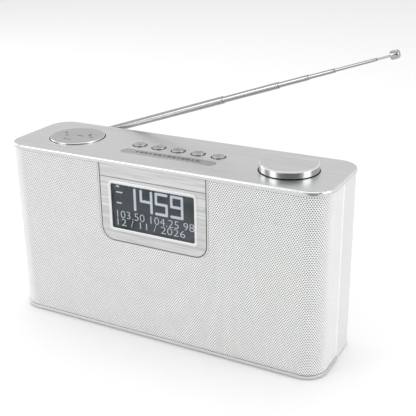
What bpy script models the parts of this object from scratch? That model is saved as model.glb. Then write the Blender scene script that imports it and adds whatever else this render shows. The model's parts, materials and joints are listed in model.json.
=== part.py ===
"""Tabletop radio: a wide flat cabinet with a wrapped metal grille, two speakers, a display,
top controls and a folding telescopic antenna.

Frame: +X to the right of the front, +Y to the back, +Z up, in metres. The origin is the centre
of the rest face under the cabinet.
"""

import math

import bmesh
import bpy
from mathutils import Matrix, Vector

mm = 0.001

# Cabinet
body_width = 270.0 * mm
body_depth = 75.2 * mm
body_height = 142.9 * mm  # from under the base plate to the face of the top panel
corner_radius = 17.0 * mm
panel_thickness = 3.3 * mm
panel_edge = 0.6 * mm
base_thickness = 2.5 * mm
mat_thickness = 0.8 * mm
mat_margin = 12.0 * mm
skin_inset = 0.8 * mm  # the walls stand this far inside the panel's outline
grille_thickness = 1.0 * mm
baffle_wall = 2.2 * mm
cover_wall = 2.4 * mm
seam_y = 0.0 * mm
gap = 0.3 * mm  # between pieces that rest on each other
running_gap = 0.15 * mm  # round a pin or shaft

# Display
display_width = 90.0 * mm
display_height = 60.8 * mm  # from the top of the walls down
display_corner = 10.0 * mm
display_proud = 0.6 * mm
window_width = 70.0 * mm
window_height = 35.0 * mm
window_drop = 33.1 * mm  # from the underside of the top panel to the window's middle
window_corner = 1.5 * mm
lens_recess = 0.5 * mm
lens_flange = 2.3 * mm
lcd_margin = 1.0 * mm
lcd_thickness = 2.0 * mm
backlight_thickness = 3.5 * mm
display_board_margin = 6.0 * mm
board_thickness = 1.6 * mm

# Speakers
speaker_spacing = 174.0 * mm
speaker_clearance = 7.5 * mm  # from the control board down to the rim
speaker_rim = 30.0 * mm
speaker_hole = 26.0 * mm
speaker_neck = 15.5 * mm
speaker_depth = 18.5 * mm
speaker_plate = 1.5 * mm
speaker_sheet = 1.2 * mm
magnet_radius = 17.0 * mm
magnet_depth = 10.0 * mm
magnet_edge = 0.8 * mm
coil_radius = 7.4 * mm
coil_depth = 9.0 * mm
dust_cap_depth = 3.6 * mm
paper_thickness = 0.9 * mm

# Navigation disc
disc_x = -92.0 * mm
disc_y = 1.0 * mm
disc_radius = 22.0 * mm
disc_proud = 1.0 * mm
disc_gap = 0.6 * mm
disc_sunk = 0.6 * mm  # the disc's underside stays this far above the panel's underside
disc_edge = 0.5 * mm
disc_pin_radius = 1.5 * mm
disc_pin_place = 15.5 * mm
gimbal_depth = 4.5 * mm  # from the underside of the panel to the gimbal's axes
gimbal_rod = 1.2 * mm
gimbal_reach = 13.2 * mm
gimbal_lug_place = 7.5 * mm
gimbal_hub = 2.4 * mm
lug_thickness = 2.4 * mm
lug_half = 2.6 * mm

# Tuning knob
knob_x = 92.7 * mm
knob_y = -0.5 * mm
knob_radius = 21.6 * mm
knob_height = 5.8 * mm
knob_sunk = 0.4 * mm
knob_gap = 0.7 * mm
knob_wall = 2.0 * mm
knob_edge = 0.9 * mm
knob_recess = 1.2 * mm
knob_hub_wall = 3.5 * mm
knob_bore_cover = 1.6 * mm
shaft_radius = 2.5 * mm
rotor_radius = 3.6 * mm
neck_radius = 5.0 * mm
neck_below_face = 1.5 * mm
encoder_side = 14.0 * mm
encoder_height = 6.5 * mm
encoder_floor = 1.0 * mm

# Keys
key_names = ("key_power", "key_mode", "key_menu", "key_info", "key_preset")
key_spacing = 3.7 * mm  # between the flanges of neighbouring keys
key_y = 3.8 * mm
key_radius = 5.55 * mm
key_gap = 0.3 * mm
key_proud = 0.8 * mm
key_travel = 0.6 * mm
key_flange = 1.2 * mm
key_flange_thickness = 1.0 * mm
key_stem = 2.0 * mm
key_edge = 0.4 * mm
bar_half_length = 40.0 * mm
bar_radius = 4.75 * mm
bar_spacing = 3.6 * mm  # between the keys' flanges and the bar's
bar_proud = 0.3 * mm
bar_stem_place = 25.0 * mm

# Control frame and boards
frame_thickness = 2.0 * mm
control_board_drop = 16.0 * mm  # from the underside of the panel to the board's face
control_board_length = 222.0 * mm
control_board_margin = 11.3 * mm  # from the edge of the control frame to the board's
frame_post_x = 62.0 * mm
frame_post_radius = 2.5 * mm
frame_post_margin = 5.0 * mm
switch_side = 6.0 * mm
switch_height = 3.5 * mm
plunger_radius = 1.7 * mm
plunger_height = 0.8 * mm
main_board_width = 120.0 * mm
main_board_height = 62.0 * mm
main_board_bottom = 11.0 * mm
main_board_clearance = 14.1 * mm  # from the board's back to the rear cover
tuner_width = 30.0 * mm
tuner_height = 25.0 * mm
tuner_depth = 4.0 * mm
tuner_margin = 7.0 * mm
ribbon_width = 14.0 * mm
ribbon_thickness = 0.4 * mm
ribbon_start_y = 8.0 * mm
ribbon_overlap = 4.0 * mm

# Rear sockets and screws
socket_height = 20.0 * mm
socket_depth = 12.0 * mm
socket_hole_depth = 9.0 * mm
socket_flange = 1.5 * mm
socket_flange_thickness = 2.5 * mm
power_socket_x = 60.0 * mm
power_nozzle = 4.5 * mm
power_hole = 3.15 * mm
power_pin = 1.0 * mm
power_pin_sunk = 1.5 * mm
phones_socket_x = 84.0 * mm
phones_nozzle = 3.6 * mm
phones_hole = 1.8 * mm
screw_shank = 1.3 * mm
screw_head = 2.8 * mm
screw_head_height = 1.4 * mm
screw_length = 9.0 * mm
screw_recess = 1.6 * mm
screw_crown = 0.5 * mm
lug_side = 9.0 * mm
lug_depth = 8.0 * mm
low_screw_x = 108.0 * mm
low_screw_z = 8.5 * mm
high_screw_x = 76.0 * mm
high_screw_drop = 9.0 * mm

# Antenna
antenna_x = -108.0 * mm
antenna_drop = 8.0 * mm  # from the underside of the top panel to the swivel's axis
antenna_behind = 6.0 * mm  # from the back edge of the panel to the mast's axis
antenna_rise = 19.1  # degrees above level
section_radii = (3.0 * mm, 2.5 * mm, 2.05 * mm, 1.6 * mm, 1.2 * mm, 0.8 * mm)
section_lengths = (134.0 * mm, 120.0 * mm, 118.0 * mm, 116.0 * mm, 114.0 * mm, 112.0 * mm)
section_shown = (134.0 * mm, 49.1 * mm, 24.5 * mm, 21.1 * mm, 31.8 * mm, 9.8 * mm)
section_gap = 0.12 * mm
mouth_gap = 0.06 * mm
mouth_length = 1.5 * mm
tongue_thickness = 3.0 * mm
tongue_half = 2.6 * mm
tongue_length = 4.6 * mm
tube_floor = 9.5 * mm
yoke_wall = 2.1 * mm
yoke_half = 3.2 * mm
hinge_pin = 1.0 * mm
elbow_disc_radius = 6.5 * mm
elbow_disc = 1.0 * mm
foot_radius = 7.0 * mm
foot_thickness = 1.6 * mm
foot_edge = 0.4 * mm
stem_radius = 2.5 * mm
stem_groove = 0.7 * mm
stem_end = 1.6 * mm  # past the clip
clip_thickness = 1.0 * mm
clip_radius = 4.6 * mm
tip_radius = 3.2 * mm
tip_length = 6.5 * mm
tip_bore_depth = 4.0 * mm
tip_edge = 0.8 * mm
mouth_rounding = 0.15 * mm

# Heights and half sizes that follow
half_width = body_width / 2
half_depth = body_depth / 2
base_bottom = mat_thickness
base_top = base_bottom + base_thickness
panel_top = base_bottom + body_height
panel_bottom = panel_top - panel_thickness
wall_bottom = base_top + gap
wall_top = panel_bottom - gap
frame_bottom = wall_top - frame_thickness
board_top = panel_bottom - control_board_drop
switch_top = board_top + switch_height + plunger_height
baffle_inset = skin_inset + grille_thickness + gap
frame_inset = baffle_inset + baffle_wall + gap
baffle_front = -(half_depth - baffle_inset)
baffle_back = baffle_front + baffle_wall
cover_back = half_depth - skin_inset
cover_inside = cover_back - cover_wall
disc_bottom = panel_bottom + disc_sunk
gimbal_z = panel_bottom - gimbal_depth
window_z = panel_bottom - window_drop
key_pitch = 2 * (key_radius + key_flange) + key_spacing
bar_y = key_y - key_radius - bar_spacing - bar_radius - 2 * key_flange
control_board_half_y = half_depth - frame_inset - control_board_margin
main_board_y = cover_inside - main_board_clearance - board_thickness
speaker_z = board_top - board_thickness - speaker_clearance - speaker_rim
antenna_z = panel_bottom - antenna_drop

# How many straight sides stand for a curve
curve_steps = 6
fine_steps = 36
speaker_steps = 24
round_steps = 16
tube_steps = 12


def paint(name, colour, roughness, metallic=0.0):
    material = bpy.data.materials.new(name)
    material.use_nodes = True
    shader = material.node_tree.nodes["Principled BSDF"]
    shader.inputs["Base Color"].default_value = (*colour, 1.0)
    shader.inputs["Roughness"].default_value = roughness
    shader.inputs["Metallic"].default_value = metallic
    return material


def arc(x, y, radius, start, end, steps=curve_steps):
    """Points of an arc about (x, y), with its angles in degrees."""
    angles = [math.radians(start + (end - start) * k / steps) for k in range(steps + 1)]
    return [(x + radius * math.cos(angle), y + radius * math.sin(angle)) for angle in angles]


def rounded_rectangle(half_x, half_y, radius, x=0.0, y=0.0):
    inner_x = half_x - radius
    inner_y = half_y - radius
    return (
        arc(x + inner_x, y + inner_y, radius, 0, 90)
        + arc(x - inner_x, y + inner_y, radius, 90, 180)
        + arc(x - inner_x, y - inner_y, radius, 180, 270)
        + arc(x + inner_x, y - inner_y, radius, 270, 360)
    )


def stadium(half_length, radius, x, y):
    middle = half_length - radius
    return arc(x + middle, y, radius, -90, 90, 10) + arc(x - middle, y, radius, 90, 270, 10)


def bent_wall(inset, wall, side):
    """Outline of a sheet that runs from one side seam round two corners to the other. side is -1
    for the front half and 1 for the back half."""
    outer = corner_radius - inset
    inner = outer - wall
    turn_x = half_width - corner_radius
    turn_y = half_depth - corner_radius
    start = seam_y + side * gap / 2
    outside = arc(turn_x, turn_y, outer, 0, 90) + arc(-turn_x, turn_y, outer, 90, 180)
    inside = arc(-turn_x, turn_y, inner, 180, 90) + arc(turn_x, turn_y, inner, 90, 0)
    outside = [(x, side * y) for x, y in outside]
    inside = [(x, side * y) for x, y in inside]
    side_out = half_width - inset
    side_in = side_out - wall
    return [(side_out, start), *outside, (-side_out, start), (-side_in, start), *inside, (side_in, start)]


def add_prism(mesh, outline, low, high, matrix=None):
    """Extrude a flat outline of (x, y) points from z = low to z = high."""
    matrix = matrix or Matrix()
    corners = [mesh.verts.new(matrix @ Vector((x, y, low))) for x, y in outline]
    face = mesh.faces.new(corners)
    grown = bmesh.ops.extrude_face_region(mesh, geom=[face])
    moved = [item for item in grown["geom"] if isinstance(item, bmesh.types.BMVert)]
    lift = matrix.to_3x3() @ Vector((0, 0, high - low))
    bmesh.ops.translate(mesh, verts=moved, vec=lift)


def add_box(mesh, low, high):
    size = Vector(high) - Vector(low)
    middle = (Vector(high) + Vector(low)) / 2
    bmesh.ops.create_cube(mesh, size=1.0, matrix=Matrix.Translation(middle) @ Matrix.Diagonal((*size, 1.0)))


def add_turned(mesh, profile, steps, matrix=None, closed=False):
    """Spin a profile of (radius, height) points round Z. It starts and ends on the axis, or is closed."""
    matrix = matrix or Matrix()
    points = [mesh.verts.new((radius, 0, height)) for radius, height in profile]
    ends = points[1:] + points[:1] if closed else points[1:]
    edges = [mesh.edges.new(pair) for pair in zip(points, ends)]
    spun = bmesh.ops.spin(
        mesh, geom=points + edges, axis=(0, 0, 1), cent=(0, 0, 0), angle=math.tau, steps=steps, use_merge=True
    )
    grown = {item for item in spun["geom_last"] if isinstance(item, bmesh.types.BMVert)}
    links = set(points) | grown
    island = set(links)
    while links:
        links = {edge.other_vert(point) for point in links for edge in point.link_edges} - island
        island |= links
    bmesh.ops.remove_doubles(mesh, verts=list(island), dist=1e-7)
    left = [point for point in island if point.is_valid]
    bmesh.ops.transform(mesh, matrix=matrix, verts=left)


def add_cylinder(mesh, radius, low, high, matrix=None, steps=round_steps):
    add_turned(mesh, [(0, low), (radius, low), (radius, high), (0, high)], steps, matrix)


def toward_x(x, y, z):
    """Places what is turned round Z so that its axis lies along +X."""
    return Matrix.Translation((x, y, z)) @ Matrix.Rotation(math.radians(90), 4, "Y")


def toward_y(x, y, z):
    """Places what is turned round Z so that its axis lies along +Y."""
    return Matrix.Translation((x, y, z)) @ Matrix.Rotation(math.radians(-90), 4, "X")


def facing_front(z=0.0):
    """Stands a flat (x, height) outline up, so that it extrudes towards -Y."""
    return Matrix.Translation((0, 0, z)) @ Matrix.Rotation(math.radians(90), 4, "X")


def across_x():
    """Lays a flat outline of (y, z) points so that it extrudes along +X."""
    return Matrix(((0, 0, 1, 0), (1, 0, 0, 0), (0, 1, 0, 0), (0, 0, 0, 1)))


def place(name, mesh, material=None, at=(0, 0, 0), turn=(0, 0, 0)):
    """Make an object of a mesh drawn about its own origin."""
    bmesh.ops.recalc_face_normals(mesh, faces=mesh.faces)
    data = bpy.data.meshes.new(name)
    mesh.to_mesh(data)
    mesh.free()
    data.shade_smooth()
    data.set_sharp_from_angle(angle=math.radians(35))
    thing = bpy.data.objects.new(name, data)
    thing.location = at
    thing.rotation_euler = turn
    bpy.context.scene.collection.objects.link(thing)
    if material:
        data.materials.append(material)
    return thing


def shape(target, operation, mesh, name, at=(0, 0, 0), turn=(0, 0, 0)):
    """Cut a mesh from a piece, or join it on."""
    tool = place(name, mesh, None, at, turn)
    tool.hide_render = True
    tool.display_type = "WIRE"
    step = target.modifiers.new(name, "BOOLEAN")
    step.operation = operation
    step.solver = "EXACT"
    step.object = tool


white_metal = paint("white_metal", (0.86, 0.86, 0.86), 0.45)
white_plastic = paint("white_plastic", (0.85, 0.85, 0.84), 0.5)
black_plastic = paint("black_plastic", (0.03, 0.03, 0.03), 0.55)
brushed = paint("brushed_aluminium", (0.62, 0.62, 0.63), 0.35, 1.0)
bright = paint("polished_metal", (0.8, 0.8, 0.8), 0.12, 1.0)
rubber = paint("rubber", (0.04, 0.04, 0.04), 0.85)
clear = paint("display_window", (0.05, 0.06, 0.07), 0.1)
lcd_dark = paint("lcd_glass", (0.06, 0.07, 0.08), 0.15)
diffuser = paint("light_guide", (0.9, 0.9, 0.95), 0.4)
paper = paint("speaker_paper", (0.05, 0.05, 0.05), 0.9)
green_board = paint("circuit_board", (0.02, 0.16, 0.06), 0.5)
ferrite = paint("ferrite", (0.08, 0.08, 0.08), 0.7)
tinplate = paint("tinplate", (0.7, 0.7, 0.7), 0.35, 1.0)
steel = paint("steel", (0.6, 0.6, 0.6), 0.3, 1.0)


def make_base():
    mesh = bmesh.new()
    side = half_width - mat_margin
    end = half_depth - mat_margin
    add_prism(mesh, rounded_rectangle(side, end, corner_radius - mat_margin / 2), 0, mat_thickness - gap / 2)
    place("base_mat", mesh, rubber)

    # The front half is the silver trim under the grille. The back half fits inside the rear cover.
    inner = skin_inset + cover_wall + gap
    turn_x = half_width - corner_radius
    turn_y = half_depth - corner_radius
    front = arc(-turn_x, -turn_y, corner_radius, 180, 270) + arc(turn_x, -turn_y, corner_radius, 270, 360)
    turn = corner_radius - inner
    back = arc(turn_x, turn_y, turn, 0, 90) + arc(-turn_x, turn_y, turn, 90, 180)
    step_y = seam_y - gap / 2
    step_x = half_width - inner
    outline = [*front, (half_width, step_y), (step_x, step_y), *back]
    outline += [(-step_x, step_y), (-half_width, step_y)]
    mesh = bmesh.new()
    add_prism(mesh, outline, base_bottom, base_top)
    plate = place("base_plate", mesh, brushed)
    for side in (-1, 1):
        x = side * low_screw_x
        back_face = cover_inside - gap
        low = (x - lug_side / 2, back_face - lug_depth, base_top - gap)
        high = (x + lug_side / 2, back_face, base_bottom + low_screw_z + lug_side / 2)
        mesh = bmesh.new()
        add_box(mesh, low, high)
        shape(plate, "UNION", mesh, f"base_lug_{side}")
        drill_lug(plate, x, base_bottom + low_screw_z, f"base_lug_hole_{side}")


def drill_lug(target, x, z, name):
    mesh = bmesh.new()
    add_cylinder(mesh, screw_shank + running_gap, -lug_depth * 2, 0, toward_y(x, half_depth, z), 12)
    shape(target, "DIFFERENCE", mesh, name)


def display_outline(grow):
    """The display plate's outline as (x, height), with square top corners and round lower ones."""
    half = display_width / 2 + grow
    low = wall_top - display_height - grow
    radius = display_corner + grow
    top = wall_top + grow * 4
    left = arc(-half + radius, low + radius, radius, 180, 270)
    right = arc(half - radius, low + radius, radius, 270, 360)
    return [*left, *right, (half, top), (-half, top)]


def make_front():
    mesh = bmesh.new()
    add_prism(mesh, bent_wall(skin_inset, grille_thickness, -1), wall_bottom, wall_top)
    grille = place("front_grille", mesh, white_metal)
    mesh = bmesh.new()
    add_prism(mesh, display_outline(gap), 0, half_depth, facing_front())
    shape(grille, "DIFFERENCE", mesh, "grille_opening", at=(0, -corner_radius, 0))

    mesh = bmesh.new()
    add_prism(mesh, bent_wall(baffle_inset, baffle_wall, -1), wall_bottom, wall_top)
    baffle = place("front_baffle", mesh, white_plastic)
    mesh = bmesh.new()
    half_x = window_width / 2 + lens_flange + gap
    half_z = window_height / 2 + lens_flange + gap
    hole = rounded_rectangle(half_x, half_z, window_corner)
    add_prism(mesh, hole, -baffle_wall * 2, baffle_wall * 2, facing_front(window_z))
    shape(baffle, "DIFFERENCE", mesh, "baffle_window", at=(0, baffle_front, 0))
    for side in (-1, 1):
        x = side * speaker_spacing / 2
        mesh = bmesh.new()
        spot = toward_y(x, baffle_front, speaker_z)
        add_cylinder(mesh, speaker_hole, -baffle_wall, baffle_wall * 2, spot, speaker_steps)
        shape(baffle, "DIFFERENCE", mesh, f"baffle_speaker_{side}")


def make_display():
    middle = window_z
    face = -(half_depth - skin_inset) - display_proud
    back = baffle_front - gap
    mesh = bmesh.new()
    add_prism(mesh, display_outline(0), -back, -face, facing_front())
    bezel = place("display_bezel", mesh, brushed)
    mesh = bmesh.new()
    window = rounded_rectangle(window_width / 2, window_height / 2, window_corner)
    add_prism(mesh, window, 0, half_depth * 2, facing_front(middle))
    shape(bezel, "DIFFERENCE", mesh, "bezel_window")

    lens_front = face + lens_recess
    lens_step = baffle_front
    lens_back = baffle_back - baffle_wall / 2
    half_x = window_width / 2 - gap
    half_z = window_height / 2 - gap
    mesh = bmesh.new()
    outline = rounded_rectangle(half_x, half_z, window_corner - gap)
    add_prism(mesh, outline, -lens_step, -lens_front, facing_front(middle))
    lens = place("display_lens", mesh, clear)
    mesh = bmesh.new()
    add_prism(
        mesh,
        rounded_rectangle(half_x + lens_flange, half_z + lens_flange, window_corner),
        -lens_back,
        -lens_step + gap / 3,
        facing_front(middle),
    )
    shape(lens, "UNION", mesh, "lens_flange")

    stack = lens_back + gap
    layers = (
        ("lcd_panel", lcd_thickness, lcd_margin, lcd_dark),
        ("lcd_backlight", backlight_thickness, lcd_margin, diffuser),
        ("display_board", board_thickness, display_board_margin, green_board),
    )
    for name, thickness, margin, material in layers:
        half_x = window_width / 2 + margin
        half_z = window_height / 2 + margin
        mesh = bmesh.new()
        start = max(stack, baffle_back + gap) if margin > lens_flange else stack
        add_box(mesh, (-half_x, start, middle - half_z), (half_x, start + thickness, middle + half_z))
        place(name, mesh, material)
        stack = start + thickness + gap


def make_speaker(side, name):
    x = side * speaker_spacing / 2
    z = speaker_z
    front = baffle_back + gap
    shoulder = speaker_hole
    inner_shoulder = shoulder - speaker_sheet
    floor = speaker_depth - speaker_plate
    basket = [
        (inner_shoulder, 0),
        (speaker_rim, 0),
        (speaker_rim, speaker_plate),
        (shoulder, speaker_plate),
        (speaker_neck, floor),
        (speaker_neck, speaker_depth),
        (coil_radius + 2 * gap, speaker_depth),
        (coil_radius + 2 * gap, floor),
        (speaker_neck - speaker_sheet, floor),
        (inner_shoulder, speaker_plate),
    ]
    mesh = bmesh.new()
    add_turned(mesh, basket, speaker_steps, toward_y(x, front, z), closed=True)
    place(f"speaker_{name}_frame", mesh, black_plastic)

    # From the middle of the dust cap out over the cone and its rolled edge, and back behind it to the coil.
    edge = inner_shoulder - 2 * gap
    roll = 3.0 * mm
    cone = [
        (0, dust_cap_depth),
        (coil_radius / 2, dust_cap_depth + paper_thickness),
        (coil_radius, coil_depth - 2 * paper_thickness),
        (edge - roll, 1.5 * paper_thickness),
        (edge - roll / 2, paper_thickness / 2),
        (edge, paper_thickness / 2),
        (edge, 1.5 * paper_thickness),
        (edge - roll, 2.5 * paper_thickness),
        (coil_radius + paper_thickness, coil_depth - paper_thickness),
        (coil_radius, coil_depth),
        (coil_radius, floor),
        (0, floor),
    ]
    mesh = bmesh.new()
    add_turned(mesh, cone, speaker_steps, toward_y(x, front, z))
    place(f"speaker_{name}_cone", mesh, paper)

    low = speaker_depth + gap
    high = low + magnet_depth
    step = magnet_radius - magnet_edge
    magnet = [(0, low), (magnet_radius, low), (magnet_radius, high - magnet_edge), (step, high), (0, high)]
    mesh = bmesh.new()
    add_turned(mesh, magnet, speaker_steps, toward_y(x, front, z))
    place(f"speaker_{name}_magnet", mesh, ferrite)


def make_rear_cover():
    mesh = bmesh.new()
    add_prism(mesh, bent_wall(skin_inset, cover_wall, 1), base_bottom, wall_top)
    cover = place("rear_cover", mesh, white_plastic)
    holes = {
        "cover_stem_hole": (antenna_x, antenna_z, stem_radius + running_gap),
        "cover_power_hole": (power_socket_x, base_bottom + socket_height, power_nozzle + gap),
        "cover_phones_hole": (phones_socket_x, base_bottom + socket_height, phones_nozzle + gap),
    }
    for name, (x, z, radius) in holes.items():
        mesh = bmesh.new()
        add_cylinder(mesh, radius, -cover_wall, cover_wall * 2, toward_y(x, cover_inside, z))
        shape(cover, "DIFFERENCE", mesh, name)
    for number, (x, z) in enumerate(screw_places(), 1):
        step = cover_back - screw_recess
        spot = toward_y(x, step, z)
        head = screw_head + gap
        shank = screw_shank + running_gap
        far = cover_wall * 2
        recess = [(0, -far), (shank, -far), (shank, 0), (head, 0), (head, far), (0, far)]
        mesh = bmesh.new()
        add_turned(mesh, recess, 12, spot)
        shape(cover, "DIFFERENCE", mesh, f"cover_screw_hole_{number}")

        under = gap / 2
        top = under + screw_head_height
        screw = [
            (0, -screw_length),
            (screw_shank, -screw_length),
            (screw_shank, under),
            (screw_head, under),
            (screw_head, top - screw_crown),
            (screw_head - screw_crown, top),
            (0, top),
        ]
        mesh = bmesh.new()
        add_turned(mesh, screw, 12, toward_y(0, 0, 0))
        place(f"rear_screw_{number}", mesh, steel, at=(x, step, z))


def screw_places():
    low = base_bottom + low_screw_z
    high = panel_bottom - high_screw_drop
    return [(-low_screw_x, low), (low_screw_x, low), (-high_screw_x, high), (high_screw_x, high)]


def key_places():
    return [(name, (number - 2) * key_pitch, key_y) for number, name in enumerate(key_names)]


def make_top_panel():
    mesh = bmesh.new()
    outline = rounded_rectangle(half_width, half_depth, corner_radius)
    add_prism(mesh, outline, panel_bottom, panel_top)
    panel = place("top_panel", mesh, brushed)
    edge = panel.modifiers.new("edge", "BEVEL")
    edge.width = panel_edge
    edge.segments = 2
    edge.limit_method = "ANGLE"
    edge.angle_limit = math.radians(60)

    low = panel_bottom - 1 * mm
    high = panel_top + 1 * mm
    mesh = bmesh.new()
    add_cylinder(mesh, disc_radius + disc_gap, low, high, Matrix.Translation((disc_x, disc_y, 0)), fine_steps)
    for _, x, y in key_places():
        add_cylinder(mesh, key_radius + key_gap, low, high, Matrix.Translation((x, y, 0)))
    add_prism(mesh, stadium(bar_half_length + key_gap, bar_radius + key_gap, 0, bar_y), low, high)
    floor = panel_top - knob_recess
    neck = neck_radius + gap
    rim = knob_radius + knob_gap
    recess = [(0, low), (neck, low), (neck, floor), (rim, floor), (rim, high), (0, high)]
    add_turned(mesh, recess, fine_steps, Matrix.Translation((knob_x, knob_y, 0)))
    shape(panel, "DIFFERENCE", mesh, "panel_openings")


def make_control_frame():
    turn = corner_radius - frame_inset
    mesh = bmesh.new()
    outline = rounded_rectangle(half_width - frame_inset, half_depth - frame_inset, turn)
    add_prism(mesh, outline, frame_bottom, wall_top)
    frame = place("control_frame", mesh, black_plastic)

    mesh = bmesh.new()
    low = gimbal_z - lug_half
    for side in (-1, 1):
        inner = disc_x + side * (gimbal_reach - lug_thickness)
        outer = disc_x + side * gimbal_reach
        start = (min(inner, outer), disc_y - lug_half, low)
        end = (max(inner, outer), disc_y + lug_half, wall_top - frame_thickness / 2)
        add_box(mesh, start, end)
        x = side * high_screw_x
        z = panel_bottom - high_screw_drop
        back_face = cover_inside - gap
        start = (x - lug_side / 2, back_face - lug_depth, z - lug_side / 2)
        end = (x + lug_side / 2, back_face, wall_top - frame_thickness / 2)
        add_box(mesh, start, end)
        for post_y in (-1, 1):
            y = post_y * (control_board_half_y - frame_post_margin)
            spot = Matrix.Translation((side * frame_post_x, y, 0))
            add_cylinder(mesh, frame_post_radius, board_top + gap, wall_top - frame_thickness / 2, spot, 12)
    shape(frame, "UNION", mesh, "frame_posts")

    mesh = bmesh.new()
    high = wall_top + 1 * mm
    low = frame_bottom - 1 * mm
    hole = gimbal_reach - lug_thickness - gap
    add_cylinder(mesh, hole, low, high, Matrix.Translation((disc_x, disc_y, 0)))
    for x, y in disc_pins():
        spot = Matrix.Translation((disc_x + x, disc_y + y, 0))
        add_cylinder(mesh, disc_pin_radius + 2 * gap, low, high, spot, 12)
    for _, x, y in key_places():
        add_cylinder(mesh, key_radius + key_gap, low, high, Matrix.Translation((x, y, 0)))
    add_prism(mesh, stadium(bar_half_length + key_gap, bar_radius + key_gap, 0, bar_y), low, high)
    add_cylinder(mesh, neck_radius + gap, low, high, Matrix.Translation((knob_x, knob_y, 0)))
    shape(frame, "DIFFERENCE", mesh, "frame_openings")
    for side in (-1, 1):
        drill_lug(frame, side * high_screw_x, panel_bottom - high_screw_drop, f"frame_lug_hole_{side}")
    mesh = bmesh.new()
    reach = gimbal_reach + lug_thickness
    add_cylinder(mesh, gimbal_rod + running_gap, -reach, reach, toward_x(disc_x, disc_y, gimbal_z))
    shape(frame, "DIFFERENCE", mesh, "frame_gimbal_bore")


def disc_pins():
    place_out = disc_pin_place * math.sin(math.radians(45))
    return [(x * place_out, y * place_out) for x in (-1, 1) for y in (-1, 1)]


def make_disc():
    mesh = bmesh.new()
    add_cylinder(mesh, gimbal_rod, -gimbal_reach, gimbal_reach, toward_x(0, 0, 0))
    gimbal = place("nav_gimbal", mesh, black_plastic, at=(disc_x, disc_y, gimbal_z))
    mesh = bmesh.new()
    reach = gimbal_lug_place + lug_thickness
    add_cylinder(mesh, gimbal_rod, -reach, reach, toward_y(0, 0, 0))
    shape(gimbal, "UNION", mesh, "gimbal_cross_rod", at=gimbal.location)
    mesh = bmesh.new()
    hub = gimbal_hub
    add_box(mesh, (-hub, -hub, -hub + gap), (hub, hub, hub - gap))
    shape(gimbal, "UNION", mesh, "gimbal_hub", at=gimbal.location)

    low = disc_bottom - gimbal_z
    high = panel_top + disc_proud - gimbal_z
    step = disc_radius - disc_edge
    profile = [(0, low), (disc_radius, low), (disc_radius, high - disc_edge), (step, high), (0, high)]
    mesh = bmesh.new()
    add_turned(mesh, profile, fine_steps)
    disc = place("nav_disc", mesh, brushed, at=(disc_x, disc_y, gimbal_z))
    mesh = bmesh.new()
    for side in (-1, 1):
        y = side * gimbal_lug_place
        start = (-lug_half, y - lug_thickness / 2, -lug_half)
        add_box(mesh, start, (lug_half, y + lug_thickness / 2, low + disc_proud))
    pin_end = switch_top + 2 * gap + key_travel - gimbal_z
    for x, y in disc_pins():
        add_cylinder(mesh, disc_pin_radius, pin_end, low + disc_proud, Matrix.Translation((x, y, 0)), 12)
    shape(disc, "UNION", mesh, "disc_lugs", at=disc.location)
    mesh = bmesh.new()
    reach = gimbal_lug_place + 2 * lug_thickness
    add_cylinder(mesh, gimbal_rod + running_gap, -reach, reach, toward_y(0, 0, 0))
    shape(disc, "DIFFERENCE", mesh, "disc_bore", at=disc.location)


def make_keys():
    flange_top = frame_bottom - gap
    flange_bottom = flange_top - key_flange_thickness
    stem_end = switch_top + key_travel + gap
    for name, x, y in key_places():
        top = panel_top + key_proud
        cap = key_radius
        flange = cap + key_flange
        profile = [
            (0, stem_end),
            (key_stem, stem_end),
            (key_stem, flange_bottom),
            (flange, flange_bottom),
            (flange, flange_top),
            (cap, flange_top),
            (cap, top - key_edge),
            (cap - key_edge, top),
            (0, top),
        ]
        mesh = bmesh.new()
        add_turned(mesh, [(radius, height - panel_top) for radius, height in profile], round_steps)
        place(name, mesh, brushed, at=(x, y, panel_top))

    top = panel_top + bar_proud
    mesh = bmesh.new()
    outline = stadium(bar_half_length, bar_radius, 0, 0)
    add_prism(mesh, outline, flange_bottom + gap - panel_top, top - panel_top)
    bar = place("snooze_bar", mesh, brushed, at=(0, bar_y, panel_top))
    mesh = bmesh.new()
    outline = stadium(bar_half_length + key_flange, bar_radius + key_flange, 0, 0)
    add_prism(mesh, outline, flange_bottom - panel_top, flange_top - panel_top)
    shape(bar, "UNION", mesh, "bar_flange", at=bar.location)
    mesh = bmesh.new()
    for side in (-1, 1):
        spot = Matrix.Translation((side * bar_stem_place, 0, 0))
        add_cylinder(mesh, key_stem, stem_end - panel_top, flange_top - gap - panel_top, spot, 12)
    shape(bar, "UNION", mesh, "bar_stems", at=bar.location)


def make_control_board():
    half_x = control_board_length / 2
    half_y = control_board_half_y
    mesh = bmesh.new()
    add_box(mesh, (-half_x, -half_y, board_top - board_thickness), (half_x, half_y, board_top))
    board = place("control_board", mesh, green_board)
    spots = [(x, y) for _, x, y in key_places()]
    spots += [(side * bar_stem_place, bar_y) for side in (-1, 1)]
    spots += [(disc_x + x, disc_y + y) for x, y in disc_pins()]
    half = switch_side / 2
    mesh = bmesh.new()
    for x, y in spots:
        add_box(mesh, (x - half, y - half, board_top - gap), (x + half, y + half, board_top + switch_height))
    shape(board, "UNION", mesh, "board_switches")
    mesh = bmesh.new()
    for x, y in spots:
        low = board_top + switch_height - gap
        add_cylinder(mesh, plunger_radius, low, switch_top, Matrix.Translation((x, y, 0)), 10)
    shape(board, "UNION", mesh, "board_plungers")


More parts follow.
